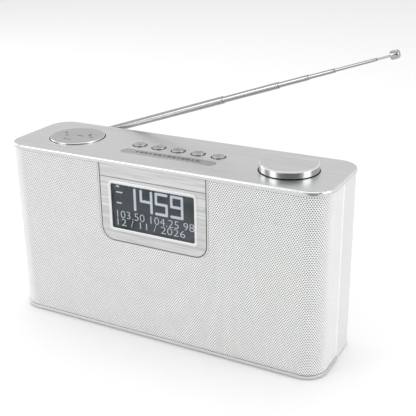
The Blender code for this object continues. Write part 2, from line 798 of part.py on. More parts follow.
def make_encoder_and_knob():
    bottom = board_top + gap
    shoulder = bottom + encoder_height
    neck_top = panel_top - neck_below_face
    floor = bottom + encoder_floor
    half = encoder_side / 2
    at = (knob_x, knob_y, 0)
    mesh = bmesh.new()
    add_box(mesh, (-half, -half, bottom), (half, half, shoulder))
    body = place("encoder_body", mesh, steel, at=at)
    mesh = bmesh.new()
    add_cylinder(mesh, neck_radius, shoulder - 1 * mm, neck_top)
    shape(body, "UNION", mesh, "encoder_neck", at=at)
    mesh = bmesh.new()
    add_cylinder(mesh, rotor_radius + running_gap, floor, neck_top + 1 * mm)
    shape(body, "DIFFERENCE", mesh, "encoder_bore", at=at)

    inner = shaft_radius + running_gap
    low = floor + gap
    rotor = [(inner, low), (rotor_radius, low), (rotor_radius, neck_top), (inner, neck_top)]
    mesh = bmesh.new()
    add_turned(mesh, rotor, round_steps, closed=True)
    place("encoder_rotor", mesh, black_plastic, at=at)

    top = panel_top + knob_height
    bore_top = top - knob_bore_cover
    mesh = bmesh.new()
    add_cylinder(mesh, shaft_radius, low + key_travel + gap, bore_top - gap)
    place("encoder_shaft", mesh, steel, at=at)

    bottom = panel_top - knob_sunk
    hub = shaft_radius + knob_hub_wall
    under = top - knob_wall - gap
    profile = [
        (0, top),
        (knob_radius - knob_edge, top),
        (knob_radius, top - knob_edge),
        (knob_radius, bottom),
        (knob_radius - knob_wall, bottom),
        (knob_radius - knob_wall, under),
        (hub, under),
        (hub, bottom + gap),
        (inner, bottom + gap),
        (inner, bore_top),
        (0, bore_top),
    ]
    mesh = bmesh.new()
    add_turned(mesh, profile, fine_steps)
    place("tuning_knob", mesh, brushed, at=at)


def make_main_board():
    half = main_board_width / 2
    low = base_bottom + main_board_bottom
    high = low + main_board_height
    mesh = bmesh.new()
    add_box(mesh, (-half, main_board_y, low), (half, main_board_y + board_thickness, high))
    place("main_board", mesh, green_board)
    left = -half + tuner_margin
    top = high - tuner_margin
    back = main_board_y - gap
    mesh = bmesh.new()
    add_box(mesh, (left, back - tuner_depth, top - tuner_height), (left + tuner_width, back, top))
    place("tuner_shield", mesh, tinplate)

    # The ribbon drops from the control board to the top edge of the main board in an S curve.
    start = Vector((ribbon_start_y, board_top - board_thickness - gap))
    end = Vector((main_board_y - gap - ribbon_thickness, high - ribbon_overlap))
    points = 16
    front = []
    for step in range(points + 1):
        part = step / points
        sway = (1 - math.cos(math.pi * part)) / 2
        front.append((start.x + (end.x - start.x) * sway, start.y + (end.y - start.y) * part))
    ribbon = front + [(y + ribbon_thickness, z) for y, z in reversed(front)]
    mesh = bmesh.new()
    add_prism(mesh, ribbon, -ribbon_width / 2, ribbon_width / 2, across_x())
    place("ribbon_cable", mesh, white_plastic)


def make_sockets():
    z = base_bottom + socket_height
    sockets = (
        ("power_socket", power_socket_x, power_nozzle, power_hole, power_pin),
        ("phones_socket", phones_socket_x, phones_nozzle, phones_hole, 0.0),
    )
    inside = -(cover_wall + gap)
    behind = inside - socket_flange_thickness
    for name, x, nozzle, hole, pin in sockets:
        flange = nozzle + socket_flange
        profile = [(0, -socket_hole_depth)]
        if pin:
            profile = [(0, -power_pin_sunk), (pin, -power_pin_sunk - gap), (pin, -socket_hole_depth)]
        profile += [
            (hole, -socket_hole_depth),
            (hole, 0),
            (nozzle, 0),
            (nozzle, inside),
            (flange, inside),
            (flange, behind),
            (nozzle, behind),
            (nozzle, -socket_depth),
            (0, -socket_depth),
        ]
        mesh = bmesh.new()
        add_turned(mesh, profile, round_steps, toward_y(x, cover_back, z))
        place(name, mesh, black_plastic)


def make_antenna():
    pivot = Vector((antenna_x, half_depth + antenna_behind, antenna_z))
    lean = (0, math.radians(90 - antenna_rise), 0)
    disc_low = foot_top() - pivot.y + gap
    disc_high = disc_low + elbow_disc

    foot = [
        (stem_radius + running_gap, cover_back + gap),
        (foot_radius, cover_back + gap),
        (foot_radius, foot_top() - foot_edge),
        (foot_radius - foot_edge, foot_top()),
        (stem_radius + running_gap, foot_top()),
    ]
    mesh = bmesh.new()
    add_turned(mesh, foot, round_steps, toward_y(antenna_x, 0, pivot.z), closed=True)
    place("antenna_foot", mesh, white_plastic)

    # The elbow turns about Y. Its stem goes through the foot and the cover, and a clip holds it inside.
    clip_front = cover_inside - gap - clip_thickness - pivot.y
    groove = stem_radius - stem_groove
    elbow_profile = [
        (0, clip_front - stem_end),
        (stem_radius, clip_front - stem_end),
        (stem_radius, clip_front - gap / 2),
        (groove, clip_front - gap / 2),
        (groove, clip_front + clip_thickness + gap / 2),
        (stem_radius, clip_front + clip_thickness + gap / 2),
        (stem_radius, disc_low),
        (elbow_disc_radius, disc_low),
        (elbow_disc_radius, disc_high - elbow_disc / 3),
        (elbow_disc_radius - elbow_disc / 3, disc_high),
        (0, disc_high),
    ]
    mesh = bmesh.new()
    add_turned(mesh, elbow_profile, round_steps, toward_y(0, 0, 0))
    elbow = place("antenna_elbow", mesh, bright, at=pivot, turn=lean)
    inner = tongue_thickness / 2 + gap
    for side in (-1, 1):
        start = min(side * inner, side * (inner + yoke_wall))
        mesh = bmesh.new()
        outline = [(disc_high - gap - elbow_disc / 2, -yoke_half), *arc(0, 0, yoke_half, -90, 90, 10)]
        outline += [(disc_high - gap - elbow_disc / 2, yoke_half)]
        add_prism(mesh, outline, start, start + yoke_wall, across_x())
        shape(elbow, "UNION", mesh, f"elbow_ear_{side}", at=pivot, turn=lean)
    reach = inner + yoke_wall
    mesh = bmesh.new()
    add_cylinder(mesh, hinge_pin + running_gap, -2 * reach, 2 * reach, toward_x(0, 0, 0))
    shape(elbow, "DIFFERENCE", mesh, "elbow_bore", at=pivot, turn=lean)

    mesh = bmesh.new()
    add_cylinder(mesh, hinge_pin, -reach - gap, reach + gap, toward_x(0, 0, 0))
    place("antenna_pin", mesh, steel, at=pivot, turn=lean)

    ring = [
        (groove + running_gap, clip_front),
        (clip_radius, clip_front),
        (clip_radius, clip_front + clip_thickness),
        (groove + running_gap, clip_front + clip_thickness),
    ]
    mesh = bmesh.new()
    add_turned(mesh, ring, round_steps, toward_y(0, 0, 0), closed=True)
    clip = place("antenna_clip", mesh, steel, at=pivot, turn=lean)
    mesh = bmesh.new()
    low = (-groove, clip_front - clip_thickness, 0)
    add_box(mesh, low, (groove, clip_front + 2 * clip_thickness, 2 * clip_radius))
    shape(clip, "DIFFERENCE", mesh, "clip_slot", at=pivot, turn=lean)

    make_mast(pivot, lean)


def foot_top():
    return cover_back + gap + foot_thickness


def make_mast(pivot, lean):
    """Nested tubes drawn along their own Z, from the hinge outwards."""
    end = 0.0
    last = len(section_radii) - 1
    for number, (radius, length, shown) in enumerate(zip(section_radii, section_lengths, section_shown)):
        end += shown
        start = end - length
        name = f"antenna_section_{number + 1}"
        if number == last:
            mesh = bmesh.new()
            add_cylinder(mesh, radius, start, end + tip_bore_depth - gap, steps=tube_steps)
            place(name, mesh, bright, at=pivot, turn=lean)
            continue
        bore = section_radii[number + 1] + section_gap
        mouth = section_radii[number + 1] + mouth_gap
        lip = radius - mouth_rounding
        outside = [(radius, end - mouth_rounding), (lip, end), (mouth, end), (mouth, end - mouth_length)]
        mesh = bmesh.new()
        if number:
            profile = [(bore, start), (radius, start), *outside, (bore, end - mouth_length)]
            add_turned(mesh, profile, tube_steps, closed=True)
            place(name, mesh, bright, at=pivot, turn=lean)
            continue
        profile = [(0, tongue_length), (radius, tongue_length), *outside, (bore, end - mouth_length)]
        profile += [(bore, tube_floor), (0, tube_floor)]
        add_turned(mesh, profile, tube_steps)
        mast = place(name, mesh, bright, at=pivot, turn=lean)
        root = tongue_length + 3 * gap
        tongue = [*arc(0, 0, tongue_half, 180, 360, 10), (tongue_half, root), (-tongue_half, root)]
        mesh = bmesh.new()
        add_prism(mesh, tongue, -tongue_thickness / 2, tongue_thickness / 2, across_x())
        shape(mast, "UNION", mesh, "mast_tongue", at=pivot, turn=lean)
        mesh = bmesh.new()
        add_cylinder(mesh, hinge_pin + running_gap, -2 * radius, 2 * radius, toward_x(0, 0, 0))
        shape(mast, "DIFFERENCE", mesh, "mast_bore", at=pivot, turn=lean)

    bore = section_radii[last] + running_gap
    edge = tip_edge
    top = end + tip_length
    tip = [
        (0, end + tip_bore_depth),
        (bore, end + tip_bore_depth),
        (bore, end),
        (tip_radius - edge, end),
        (tip_radius, end + edge),
        (tip_radius, top - 2 * edge),
        (tip_radius - edge, top - edge / 2),
        (tip_radius - 2 * edge, top),
        (0, top),
    ]
    mesh = bmesh.new()
    add_turned(mesh, tip, tube_steps)
    place("antenna_tip", mesh, bright, at=pivot, turn=lean)


for old in list(bpy.data.objects):
    bpy.data.objects.remove(old, do_unlink=True)

make_base()
make_front()
make_display()
make_speaker(-1, "left")
make_speaker(1, "right")
make_rear_cover()
make_top_panel()
make_control_frame()
make_disc()
make_keys()
make_control_board()
make_encoder_and_knob()
make_main_board()
make_sockets()
make_antenna()
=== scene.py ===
"""Tabletop radio, finished piece by piece around its fixed frame, from the mat up to the antenna."""

import json
import math

import bmesh
import bpy
import numpy as np
from mathutils import Euler, Matrix, Vector

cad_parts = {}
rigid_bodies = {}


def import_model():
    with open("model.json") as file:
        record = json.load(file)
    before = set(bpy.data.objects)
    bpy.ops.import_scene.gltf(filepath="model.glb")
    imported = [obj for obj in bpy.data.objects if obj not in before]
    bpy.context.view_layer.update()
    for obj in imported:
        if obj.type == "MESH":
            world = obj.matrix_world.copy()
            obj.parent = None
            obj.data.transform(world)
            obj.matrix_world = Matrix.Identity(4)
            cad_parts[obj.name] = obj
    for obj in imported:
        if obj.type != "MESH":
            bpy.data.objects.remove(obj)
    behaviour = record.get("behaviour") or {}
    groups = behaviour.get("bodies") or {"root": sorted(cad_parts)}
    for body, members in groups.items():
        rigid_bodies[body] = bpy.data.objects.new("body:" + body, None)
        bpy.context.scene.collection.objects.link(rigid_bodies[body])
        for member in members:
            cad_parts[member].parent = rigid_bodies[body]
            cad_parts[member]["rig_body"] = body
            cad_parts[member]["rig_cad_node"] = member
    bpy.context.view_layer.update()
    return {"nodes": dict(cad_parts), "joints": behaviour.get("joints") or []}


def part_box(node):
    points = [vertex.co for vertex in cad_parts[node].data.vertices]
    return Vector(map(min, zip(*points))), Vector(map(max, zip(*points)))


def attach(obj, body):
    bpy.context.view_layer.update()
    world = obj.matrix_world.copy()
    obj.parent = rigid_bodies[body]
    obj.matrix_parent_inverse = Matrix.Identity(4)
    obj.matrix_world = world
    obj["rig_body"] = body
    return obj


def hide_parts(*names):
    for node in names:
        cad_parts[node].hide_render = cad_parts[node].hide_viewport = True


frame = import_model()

mm = 0.001

# The mat: a thin sheet of black non-slip rubber, stuck to the metal base all over. It is what
# the radio stands on.


def three(value):
    """A grey, or an even measure, may be given as one number."""
    return (value,) * 3 if isinstance(value, (int, float)) else value


class Flow:
    """A value on its way through a material. Arithmetic on it adds Math nodes."""

    def __init__(self, tree, socket):
        self.tree = tree
        self.socket = socket

    def node(self, kind, settings, inputs, output=0):
        """Any node: its settings first, then the value or the link of each socket."""
        made = self.tree.nodes.new(kind)
        for name, setting in settings.items():
            setattr(made, name, setting)
        for name, value in inputs.items():
            if isinstance(value, Flow):
                self.tree.links.new(value.socket, made.inputs[name])
            else:
                made.inputs[name].default_value = value
        return Flow(self.tree, made.outputs[output])

    def maths(self, operation, first, second):
        return self.node("ShaderNodeMath", {"operation": operation}, {0: first, 1: second})

    def __add__(self, other):
        return self.maths("ADD", self, other)

    def __mul__(self, other):
        return self.maths("MULTIPLY", self, other)

    __radd__ = __add__
    __rmul__ = __mul__

    def between(self, low, high):
        """0 below low, 1 above high, and a smooth rise from one to the other."""
        settings = {"interpolation_type": "SMOOTHSTEP"}
        return self.node("ShaderNodeMapRange", settings, {"Value": self, "From Min": low, "From Max": high})

    def noise(self, fineness, detail=2.0):
        """Noise from 0 to 1, with so many cells to the metre along X, Y and Z."""
        spread = self.node("ShaderNodeVectorMath", {"operation": "MULTIPLY"}, {0: self, 1: three(fineness)})
        return self.node("ShaderNodeTexNoise", {}, {"Vector": spread, "Scale": 1.0, "Detail": detail})

    def tint(self, low, high):
        """A colour from low to high as this value goes from 0 to 1."""
        ends = [(*three(end), 1.0) for end in (low, high)]
        return self.node("ShaderNodeMix", {"data_type": "RGBA"}, {0: self, 6: ends[0], 7: ends[1]}, 2)

    def feeds(self, name):
        self.tree.links.new(self.socket, self.tree.nodes["Principled BSDF"].inputs[name])
        return self

    def raises(self, height):
        """A bump of so many metres where this value is 1."""
        bump = self.node("ShaderNodeBump", {}, {"Height": self, "Strength": 1.0, "Distance": height})
        bump.feeds("Normal")


def new_finish(name, colour, roughness, metallic=0.0, **constants):
    """A material with its constants set on the shader, and the Object coordinates to work from."""
    material = bpy.data.materials.new(name)
    material.use_nodes = True
    tree = material.node_tree
    shader = tree.nodes["Principled BSDF"]
    shader.inputs["Base Color"].default_value = (*three(colour), 1.0)
    shader.inputs["Roughness"].default_value = roughness
    shader.inputs["Metallic"].default_value = metallic
    for key, value in constants.items():
        shader.inputs[key.replace("_", " ")].default_value = value
    return material, Flow(tree, tree.nodes.new("ShaderNodeTexCoord").outputs["Object"])


def mottled(name, colour, roughness, low, high, grain, detail=2, bump=0.0, metallic=0.0):
    """A material whose colour wanders between two, with a bump of so many metres if it has one."""
    material, place = new_finish(name, colour, roughness, metallic)
    spots = place.noise(grain, detail)
    spots.tint(low, high).feeds("Base Color")
    if bump:
        spots.raises(bump)
    return material


def coat(material, *nodes):
    """Gives nodes of the frame a better finish."""
    for node in nodes:
        for slot in frame["nodes"][node].material_slots:
            slot.material = material


rubber_low, rubber_high = (0.018, 0.018, 0.02), (0.05, 0.05, 0.052)
rubber = mottled("non_slip_rubber", (0.03, 0.03, 0.032), 0.85, rubber_low, rubber_high, 1800, 3, 0.08 * mm)
coat(rubber, "base_mat")

# The base plate: pressed aluminium, natural and brushed. Its front half shows as a silver trim line
# under the grille. Its back half fits inside the rear cover.


def settle(name):
    """Names what was just added, with its place put into its mesh."""
    bpy.ops.object.transform_apply(location=True, rotation=True, scale=True)
    piece = bpy.context.object
    piece.name = name
    piece.data.name = name
    return piece


def block(name, low, high):
    """A cuboid between two corners."""
    bpy.ops.object.select_all(action="DESELECT")
    low, high = Vector(low), Vector(high)
    bpy.ops.mesh.primitive_cube_add(size=1, location=(low + high) / 2, scale=high - low)
    return settle(name)


def take(*pieces):
    """Selects these pieces alone, and works on the first."""
    bpy.ops.object.select_all(action="DESELECT")
    for piece in pieces:
        piece.select_set(True)
    bpy.context.view_layer.objects.active = pieces[0]


def edit(piece, kind, wanted=lambda item: True):
    """Opens a piece in edit mode with only the wanted EDGEs, FACEs or VERTs selected."""
    take(piece)
    bpy.ops.object.mode_set(mode="EDIT")
    bpy.ops.mesh.select_mode(type=kind)
    bpy.ops.mesh.select_all(action="DESELECT")
    shell = bmesh.from_edit_mesh(piece.data)
    items = {"VERT": shell.verts, "EDGE": shell.edges, "FACE": shell.faces}[kind]
    for item in items:
        if wanted(item):
            item.select_set(True)
    shell.select_flush_mode()
    bmesh.update_edit_mesh(piece.data)


def done():
    bpy.ops.object.mode_set(mode="OBJECT")


def bevel(piece, wanted, width, segments):
    """Rounds the wanted edges."""
    edit(piece, "EDGE", wanted)
    bpy.ops.mesh.bevel(offset=width, segments=segments, affect="EDGES")
    done()
    return piece


def runs_along(axis, test=lambda x, y, z: True):
    """A test for edges that run along an axis and whose middle passes."""
    number = "XYZ".index(axis)

    def wanted(edge):
        way = (edge.verts[1].co - edge.verts[0].co).normalized()
        return abs(way[number]) > 0.99 and test(*((edge.verts[0].co + edge.verts[1].co) / 2))

    return wanted


def sharp_at(axis, place):
    """A test for the sharp edges that lie in the plane at that place on an axis."""
    number = "XYZ".index(axis)
    least_angle = math.radians(60)

    def wanted(edge):
        flat = all(abs(point.co[number] - place) < 1e-5 for point in edge.verts)
        return flat and len(edge.link_faces) == 2 and edge.calc_face_angle() > least_angle

    return wanted


def apply_all(piece):
    take(piece)
    for step in list(piece.modifiers):
        bpy.ops.object.modifier_apply(modifier=step.name)
    return piece


def combine(piece, operation, *tools):
    """Joins tools on to a piece, or cuts them from it, and takes the tools away."""
    for tool in tools:
        step = piece.modifiers.new("combine", "BOOLEAN")
        step.operation = operation
        step.object = tool
        apply_all(piece)
        bpy.data.objects.remove(tool, do_unlink=True)
    return piece


def join(name, *pieces):
    """Makes one piece of several shells."""
    take(*pieces)
    bpy.ops.object.join()
    pieces[0].name = name
    pieces[0].data.name = name
    return pieces[0]


def copy_below(name, node, height):
    """A copy of the part of a frame node below a height, drawn up a little: stems that stay hidden."""
    piece = frame["nodes"][node].copy()
    piece.data = piece.data.copy()
    piece.parent = None
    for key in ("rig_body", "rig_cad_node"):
        if key in piece:
            del piece[key]
    bpy.context.scene.collection.objects.link(piece)
    piece.name = name
    edit(piece, "VERT")
    bpy.ops.mesh.customdata_custom_splitnormals_clear()
    nearly_one = 1e-6
    bpy.ops.mesh.remove_doubles(threshold=nearly_one)
    bpy.ops.mesh.select_all(action="SELECT")
    bpy.ops.mesh.bisect(
        plane_co=(0, 0, height), plane_no=(0, 0, 1), use_fill=True, clear_outer=True, threshold=nearly_one
    )
    bpy.ops.transform.translate(value=(0, 0, 0.4 * mm))
    bpy.ops.mesh.select_all(action="SELECT")
    bpy.ops.mesh.normals_make_consistent(inside=False)
    done()
    return piece


def smooth(piece, angle=35):
    """Smooth over what bends less than the angle, with flat faces kept flat."""
    take(piece)
    bpy.ops.object.shade_smooth_by_angle(angle=math.radians(angle))
    step = piece.modifiers.new("even", "WEIGHTED_NORMAL")
    step.keep_sharp = True
    return apply_all(piece)


def finish_piece(piece, body, slot, nodes, *materials):
    """Puts a finished piece on its body, in place of the nodes that it stands for."""
    piece.data.materials.clear()
    for material in materials:
        piece.data.materials.append(material)
    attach(piece, body)
    if nodes:
        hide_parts(*nodes)


def brushed_metal(name, light, dark, roughness, fine=(22, 2600, 2600)):
    """Aluminium brushed one way: long thin streaks in its colour, gloss and surface."""
    material, place = new_finish(name, light, roughness, 1.0)
    streaks = place.noise(fine, 4)
    broad = place.noise(tuple(part / 5 for part in fine), 2)
    mask = (streaks * 0.65 + broad * 0.35).between(0.3, 0.7)
    mask.tint(dark, light).feeds("Base Color")
    (roughness - 0.05 + mask * 0.1).feeds("Roughness")
    streaks.raises(0.006 * mm)
    return material


def polished_metal(name, colour, roughness):
    """Bright metal with the faint wipe marks and haze that handling leaves."""
    material, place = new_finish(name, colour, roughness, 1.0)
    haze = place.noise(160, 4).between(0.35, 0.75)
    (roughness + haze * 0.05).feeds("Roughness")
    haze.tint(colour, tuple(part * 0.96 for part in three(colour))).feeds("Base Color")
    return material


trim_metal = brushed_metal("brushed_trim", (0.74, 0.74, 0.745), (0.62, 0.62, 0.63), 0.3)
edge_metal = polished_metal("polished_edge", (0.80, 0.80, 0.81), 0.22)

low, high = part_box("base_plate")
panel_low, panel_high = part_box("top_panel")
cover_low, cover_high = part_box("rear_cover")
corner = 17 * mm
seam = -0.15 * mm  # the front half ends just before the middle of the cabinet
trim_top = low.z + 2.5 * mm
inset = 3.5 * mm  # of the back half, to leave room for the rear cover's wall
overlap = 2 * mm
base = block("base_trim_plate", low, (high.x, seam, trim_top))
bevel(base, runs_along("Z", lambda x, y, z: y < -30 * mm), corner, 20)
inside = block("base_back", (inset - high.x, seam - overlap, low.z), (high.x - inset, high.y, trim_top))
bevel(inside, runs_along("Z", lambda x, y, z: y > 20 * mm), corner - inset, 12)
combine(base, "UNION", inside)
for height in (low.z, trim_top):
    bevel(base, sharp_at("Z", height), 0.35 * mm, 3)
smooth(base)
finish_piece(base, "cabinet", "brushed_aluminium", ["base_plate"], trim_metal)

# The grille: one white powder-coated steel sheet, punched all over with fine staggered holes and
# wrapped round the front and both sides. Four stretches of it make the whole, with a plain margin
# round the display's opening.

grille_low, grille_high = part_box("front_grille")
bezel_low, bezel_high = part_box("display_bezel")
sheet = 0.55 * mm
hole_pitch = 1.8 * mm
row_pitch = 1.31 * mm
hole_radius = 0.6 * mm
hole_sides = 6
merge_distance = 0.02 * mm
turn = corner - (panel_high.x - grille_high.x)
straight = panel_high.x - corner  # half the flat front
bend_length = turn * math.pi / 2
seam_edge = 0.15 * mm  # the sheet and the rear cover each stop so far from the middle
side_length = -seam_edge - grille_low.y - turn
half_path = straight + bend_length + side_length
stretches = 4
columns = int((2 * half_path / hole_pitch - 1.5) / stretches)
rows = 2 * int((grille_high.z - grille_low.z) / row_pitch / 2)
first_row = (grille_low.z + grille_high.z - (rows - 1) * row_pitch) / 2
first_column = -(stretches * columns - 0.5) * hole_pitch / 2
opening_gap = 0.7 * mm
opening_x = bezel_high.x + opening_gap
opening_z = bezel_low.z - opening_gap
plate_corner = 10 * mm
opening_corner = plate_corner + opening_gap


def in_opening(along, height):
    """Whether a point of the flat sheet is in the display's opening or right at its edge."""
    side = abs(along)
    turn_x, turn_z = opening_x - opening_corner, opening_z + opening_corner
    if side > turn_x and height < turn_z:
        return math.hypot(side - turn_x, height - turn_z) < opening_corner + merge_distance
    return side < opening_x + merge_distance and height > opening_z - merge_distance


def wrap(along, height):
    """Where a point of the flat sheet comes to lie, round the front and the two sides."""
    side = abs(along)
    way = math.copysign(1, along)
    if side <= straight:
        return (along, grille_low.y, height)
    if side <= straight + bend_length:
        angle = (side - straight) / turn
        out = straight + turn * math.sin(angle)
        return (way * out, grille_low.y + turn * (1 - math.cos(angle)), height)
    return (way * grille_high.x, grille_low.y + turn + side - straight - bend_length, height)


def punched_stretch(name, number):
    """One hole with the metal round it, repeated over a stretch, trimmed and bent."""
    bpy.ops.object.select_all(action="DESELECT")
    bpy.ops.mesh.primitive_circle_add(vertices=hole_sides, radius=hole_radius, fill_type="NOTHING")
    piece = settle(name)
    edit(piece, "EDGE")
    bpy.ops.mesh.extrude_region_move()
    shell = bmesh.from_edit_mesh(piece.data)
    for point in shell.verts:
        if point.select:
            point.co.x = 0.0 if abs(point.co.x) < 1e-6 else math.copysign(hole_pitch / 2, point.co.x)
            point.co.y = math.copysign(row_pitch / 2, point.co.y)
    bmesh.update_edit_mesh(piece.data)
    done()
    for count, offset in (
        (2, (hole_pitch / 2, row_pitch, 0)),
        (rows // 2, (0, 2 * row_pitch, 0)),
        (columns, (hole_pitch, 0, 0)),
    ):
        step = piece.modifiers.new("repeat", "ARRAY")
        step.use_relative_offset = False
        step.use_constant_offset = True
        step.constant_offset_displace = offset
        step.count = count
    apply_all(piece)

    start = first_column + number * columns * hole_pitch
    flat = np.empty(len(piece.data.vertices) * 3)
    piece.data.vertices.foreach_get("co", flat)
    flat = flat.reshape(-1, 3) + (start, first_row, 0)
    piece.data.vertices.foreach_set("co", flat.ravel())
    cell_points = 2 * hole_sides
    inside = [
        np.abs(cell[:, 0]).min() < opening_x + hole_pitch
        and any(in_opening(along, height) for along, height in cell[:, :2])
        for cell in flat.reshape(-1, cell_points, 3)
    ]
    edit(piece, "VERT", lambda point: inside[point.index // cell_points])
    bpy.ops.mesh.delete(type="VERT")
    bpy.ops.mesh.select_all(action="SELECT")
    bpy.ops.mesh.remove_doubles(threshold=merge_distance)
    shell = bmesh.from_edit_mesh(piece.data)
    bottom = first_row - row_pitch / 2
    top = first_row + (rows - 0.5) * row_pitch
    end = (stretches * columns - 1) * hole_pitch / 2
    near = 0.02 * row_pitch
    for point in shell.verts:
        line = (point.co.y - bottom) / row_pitch
        if abs(line - round(line)) * row_pitch > near:
            continue
        if abs(point.co.x) > end:
            point.co.x = math.copysign(half_path, point.co.x)
        if abs(point.co.y - bottom) < near:
            point.co.y = grille_low.z
        if abs(point.co.y - top) < near:
            point.co.y = grille_high.z
    for point in shell.verts:
        point.co = wrap(point.co.x, point.co.y)
    bmesh.update_edit_mesh(piece.data)
    bpy.ops.mesh.select_all(action="SELECT")
    bpy.ops.mesh.remove_doubles(threshold=merge_distance)
    done()
    front = min(piece.data.polygons, key=lambda face: face.center.y)
    if front.normal.y > 0:
        edit(piece, "FACE")
        bpy.ops.mesh.flip_normals()
        done()
    wall = piece.modifiers.new("sheet", "SOLIDIFY")
    wall.thickness = sheet
    wall.offset = -1
    apply_all(piece)
    bpy.ops.object.shade_smooth_by_angle(angle=math.radians(30))
    return piece


powder, place = new_finish("white_powder_coat", 0.92, 0.5)
place.noise(900).raises(0.01 * mm)
drift = place.noise(60).between(0.3, 0.7)
drift.tint((0.91, 0.91, 0.912), 0.935).feeds("Base Color")
stretch_names = ("grille_left_side", "grille_left_front", "grille_right_front", "grille_right_side")
for number, name in enumerate(stretch_names):
    finish_piece(punched_stretch(name, number), "cabinet", "white_metal", ["front_grille"], powder)


def plate(name, half_x, low_z, high_z, front, back, radius, lower=None, segments=8):
    """An upright plate with round corners. Lower gives its lower corners their own radius."""
    piece = block(name, (-half_x, front, low_z), (half_x, back, high_z))
    middle = (low_z + high_z) / 2
    if radius:
        bevel(piece, runs_along("Y", lambda x, y, z: z > middle), radius, segments)
    lower = radius if lower is None else lower
    return bevel(piece, runs_along("Y", lambda x, y, z: z < middle), lower, segments)


margin_reach = 1.2 * mm
margin_front = grille_low.y - 0.02 * mm
margin_x, margin_z, margin_back = opening_x + margin_reach, opening_z - margin_reach, grille_low.y + sheet
margin_corner = opening_corner + margin_reach
margin = plate(
    "grille_margin", margin_x, margin_z, grille_high.z, margin_front, margin_back, 0, margin_corner, 16
)
front, back = grille_low.y - mm, grille_low.y + 2 * mm
opened = plate("opened", opening_x, opening_z, grille_high.z + mm, front, back, 0, opening_corner, 16)
combine(margin, "DIFFERENCE", opened)
smooth(margin)
# Painted shade: the plain margin is grey, at the tone of the punched sheet with its shaded holes, not the
# white of the powder coat.
margin_painted_shade = mottled("margin_powder_painted_shade", 0.6, 0.5, 0.58, 0.64, 900)
finish_piece(margin, "cabinet", "white_metal", ["front_grille"], margin_painted_shade)

# The baffle: a moulded wall close behind the grille that carries the two drivers and the display.
# Its near-black colour is painted shade, so the holes of the grille read as a fine dark pattern.

baffle_painted_shade, place = new_finish("baffle_painted_shade", 0.05, 0.6)
place.noise(700, 3).raises(0.02 * mm)
place.noise(90).tint((0.035, 0.035, 0.037), 0.055).feeds("Base Color")
coat(baffle_painted_shade, "front_baffle")

# The display plate: an aluminium pressing, brushed along its length, with a fine crease under its
# upper edge. A brighter rim with polished edges is pressed up round the window.

lens_low, lens_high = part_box("display_lens")
window_x = 35.6 * mm
window_z = (lens_low.z + lens_high.z) / 2 + 0.2 * mm
window_half = 17.8 * mm
window_low, window_top = window_z - window_half, window_z + window_half
window_corner = 1.5 * mm
plate_front = bezel_low.y + 0.7 * mm


def window_cutter():
    """A block through the plate and its rim, to open the window."""
    return plate(
        "window", window_x, window_low, window_top, plate_front - mm, bezel_high.y + mm, window_corner
    )


low, high = bezel_low, bezel_high
bezel = plate("display_plate", high.x, low.z, high.z, plate_front, high.y, 0, plate_corner, 16)
crease_z = bezel_high.z - 10.4 * mm
crease_height, crease_depth = 0.6 * mm, 0.4 * mm
crease = block(
    "crease",
    (-bezel_high.x - mm, plate_front - mm, crease_z),
    (bezel_high.x + mm, plate_front + crease_depth, crease_z + crease_height),
)
combine(bezel, "DIFFERENCE", window_cutter(), crease)
bevel(bezel, sharp_at("Y", plate_front), 0.12 * mm, 2)
smooth(bezel)
plate_metal = brushed_metal("brushed_plate", 0.72, (0.44, 0.44, 0.445), 0.36, (30, 2400, 1700))
# Painted shade: a dark finish for the floor of the crease, in place of the shade that falls in the groove.
crease_painted_shade = brushed_metal("crease_painted_shade", 0.34, 0.24, 0.5)
finish_piece(bezel, "cabinet", "brushed_aluminium", ["display_bezel"], plate_metal, crease_painted_shade)


def second_finish(piece, wanted, number=1):
    """Gives the wanted faces another of the piece's finishes, the second if no number is given."""
    for face in piece.data.polygons:
        if wanted(face):
            face.material_index = number


crease_floor = plate_front + crease_depth
# The crease's floor takes the painted shade.
second_finish(
    bezel, lambda face: abs(face.center.y - crease_floor) < 0.1 * mm and face.normal.y < -0.5
)

rim_reach = 2.4 * mm
rim_front = bezel_low.y + 0.2 * mm
rim = plate(
    "display_rim",
    window_x + rim_reach,
    window_low - rim_reach,
    window_top + rim_reach,
    rim_front,
    plate_front + 0.2 * mm,
    3 * mm,
)
combine(rim, "DIFFERENCE", window_cutter())
bevel(rim, sharp_at("Y", rim_front), 0.4 * mm, 3)
smooth(rim)
rim_metal = brushed_metal("brushed_rim", 0.80, (0.64, 0.64, 0.645), 0.36, (30, 2400, 1700))
finish_piece(rim, "cabinet", "brushed_aluminium", ["display_bezel"], rim_metal, edge_metal)
second_finish(rim, lambda face: abs(face.normal.y) < 0.95)

# The window: clear acrylic with polished edges. It fills the plate's opening, and is clipped in from
# behind by its flange.

lens_gap = 0.15 * mm
lens = plate(
    "window_acrylic",
    window_x - lens_gap,
    window_low + lens_gap,
    window_top - lens_gap,
    lens_low.y,
    bezel_high.y + 0.4 * mm,
    window_corner - lens_gap,
)
flange_front = bezel_high.y + 0.3 * mm
flange = plate("flange", lens_high.x, lens_low.z, lens_high.z, flange_front, lens_high.y, window_corner)
combine(lens, "UNION", flange)
bevel(lens, sharp_at("Y", lens_low.y), 0.1 * mm, 2)
smooth(lens)
acrylic, place = new_finish("clear_acrylic", (0.93, 0.95, 0.96), 0.03, IOR=1.25, Transmission_Weight=1.0)
(0.02 + place.noise(240, 3).between(0.4, 0.8) * 0.03).feeds("Roughness")
finish_piece(lens, "cabinet", "display_window", ["display_lens"], acrylic)

# The display: a dark glass cell over its light guide. The lit figures are thin raised strokes on the
# glass: a clock in square figures, two rows of plain numbers, and three small bars.

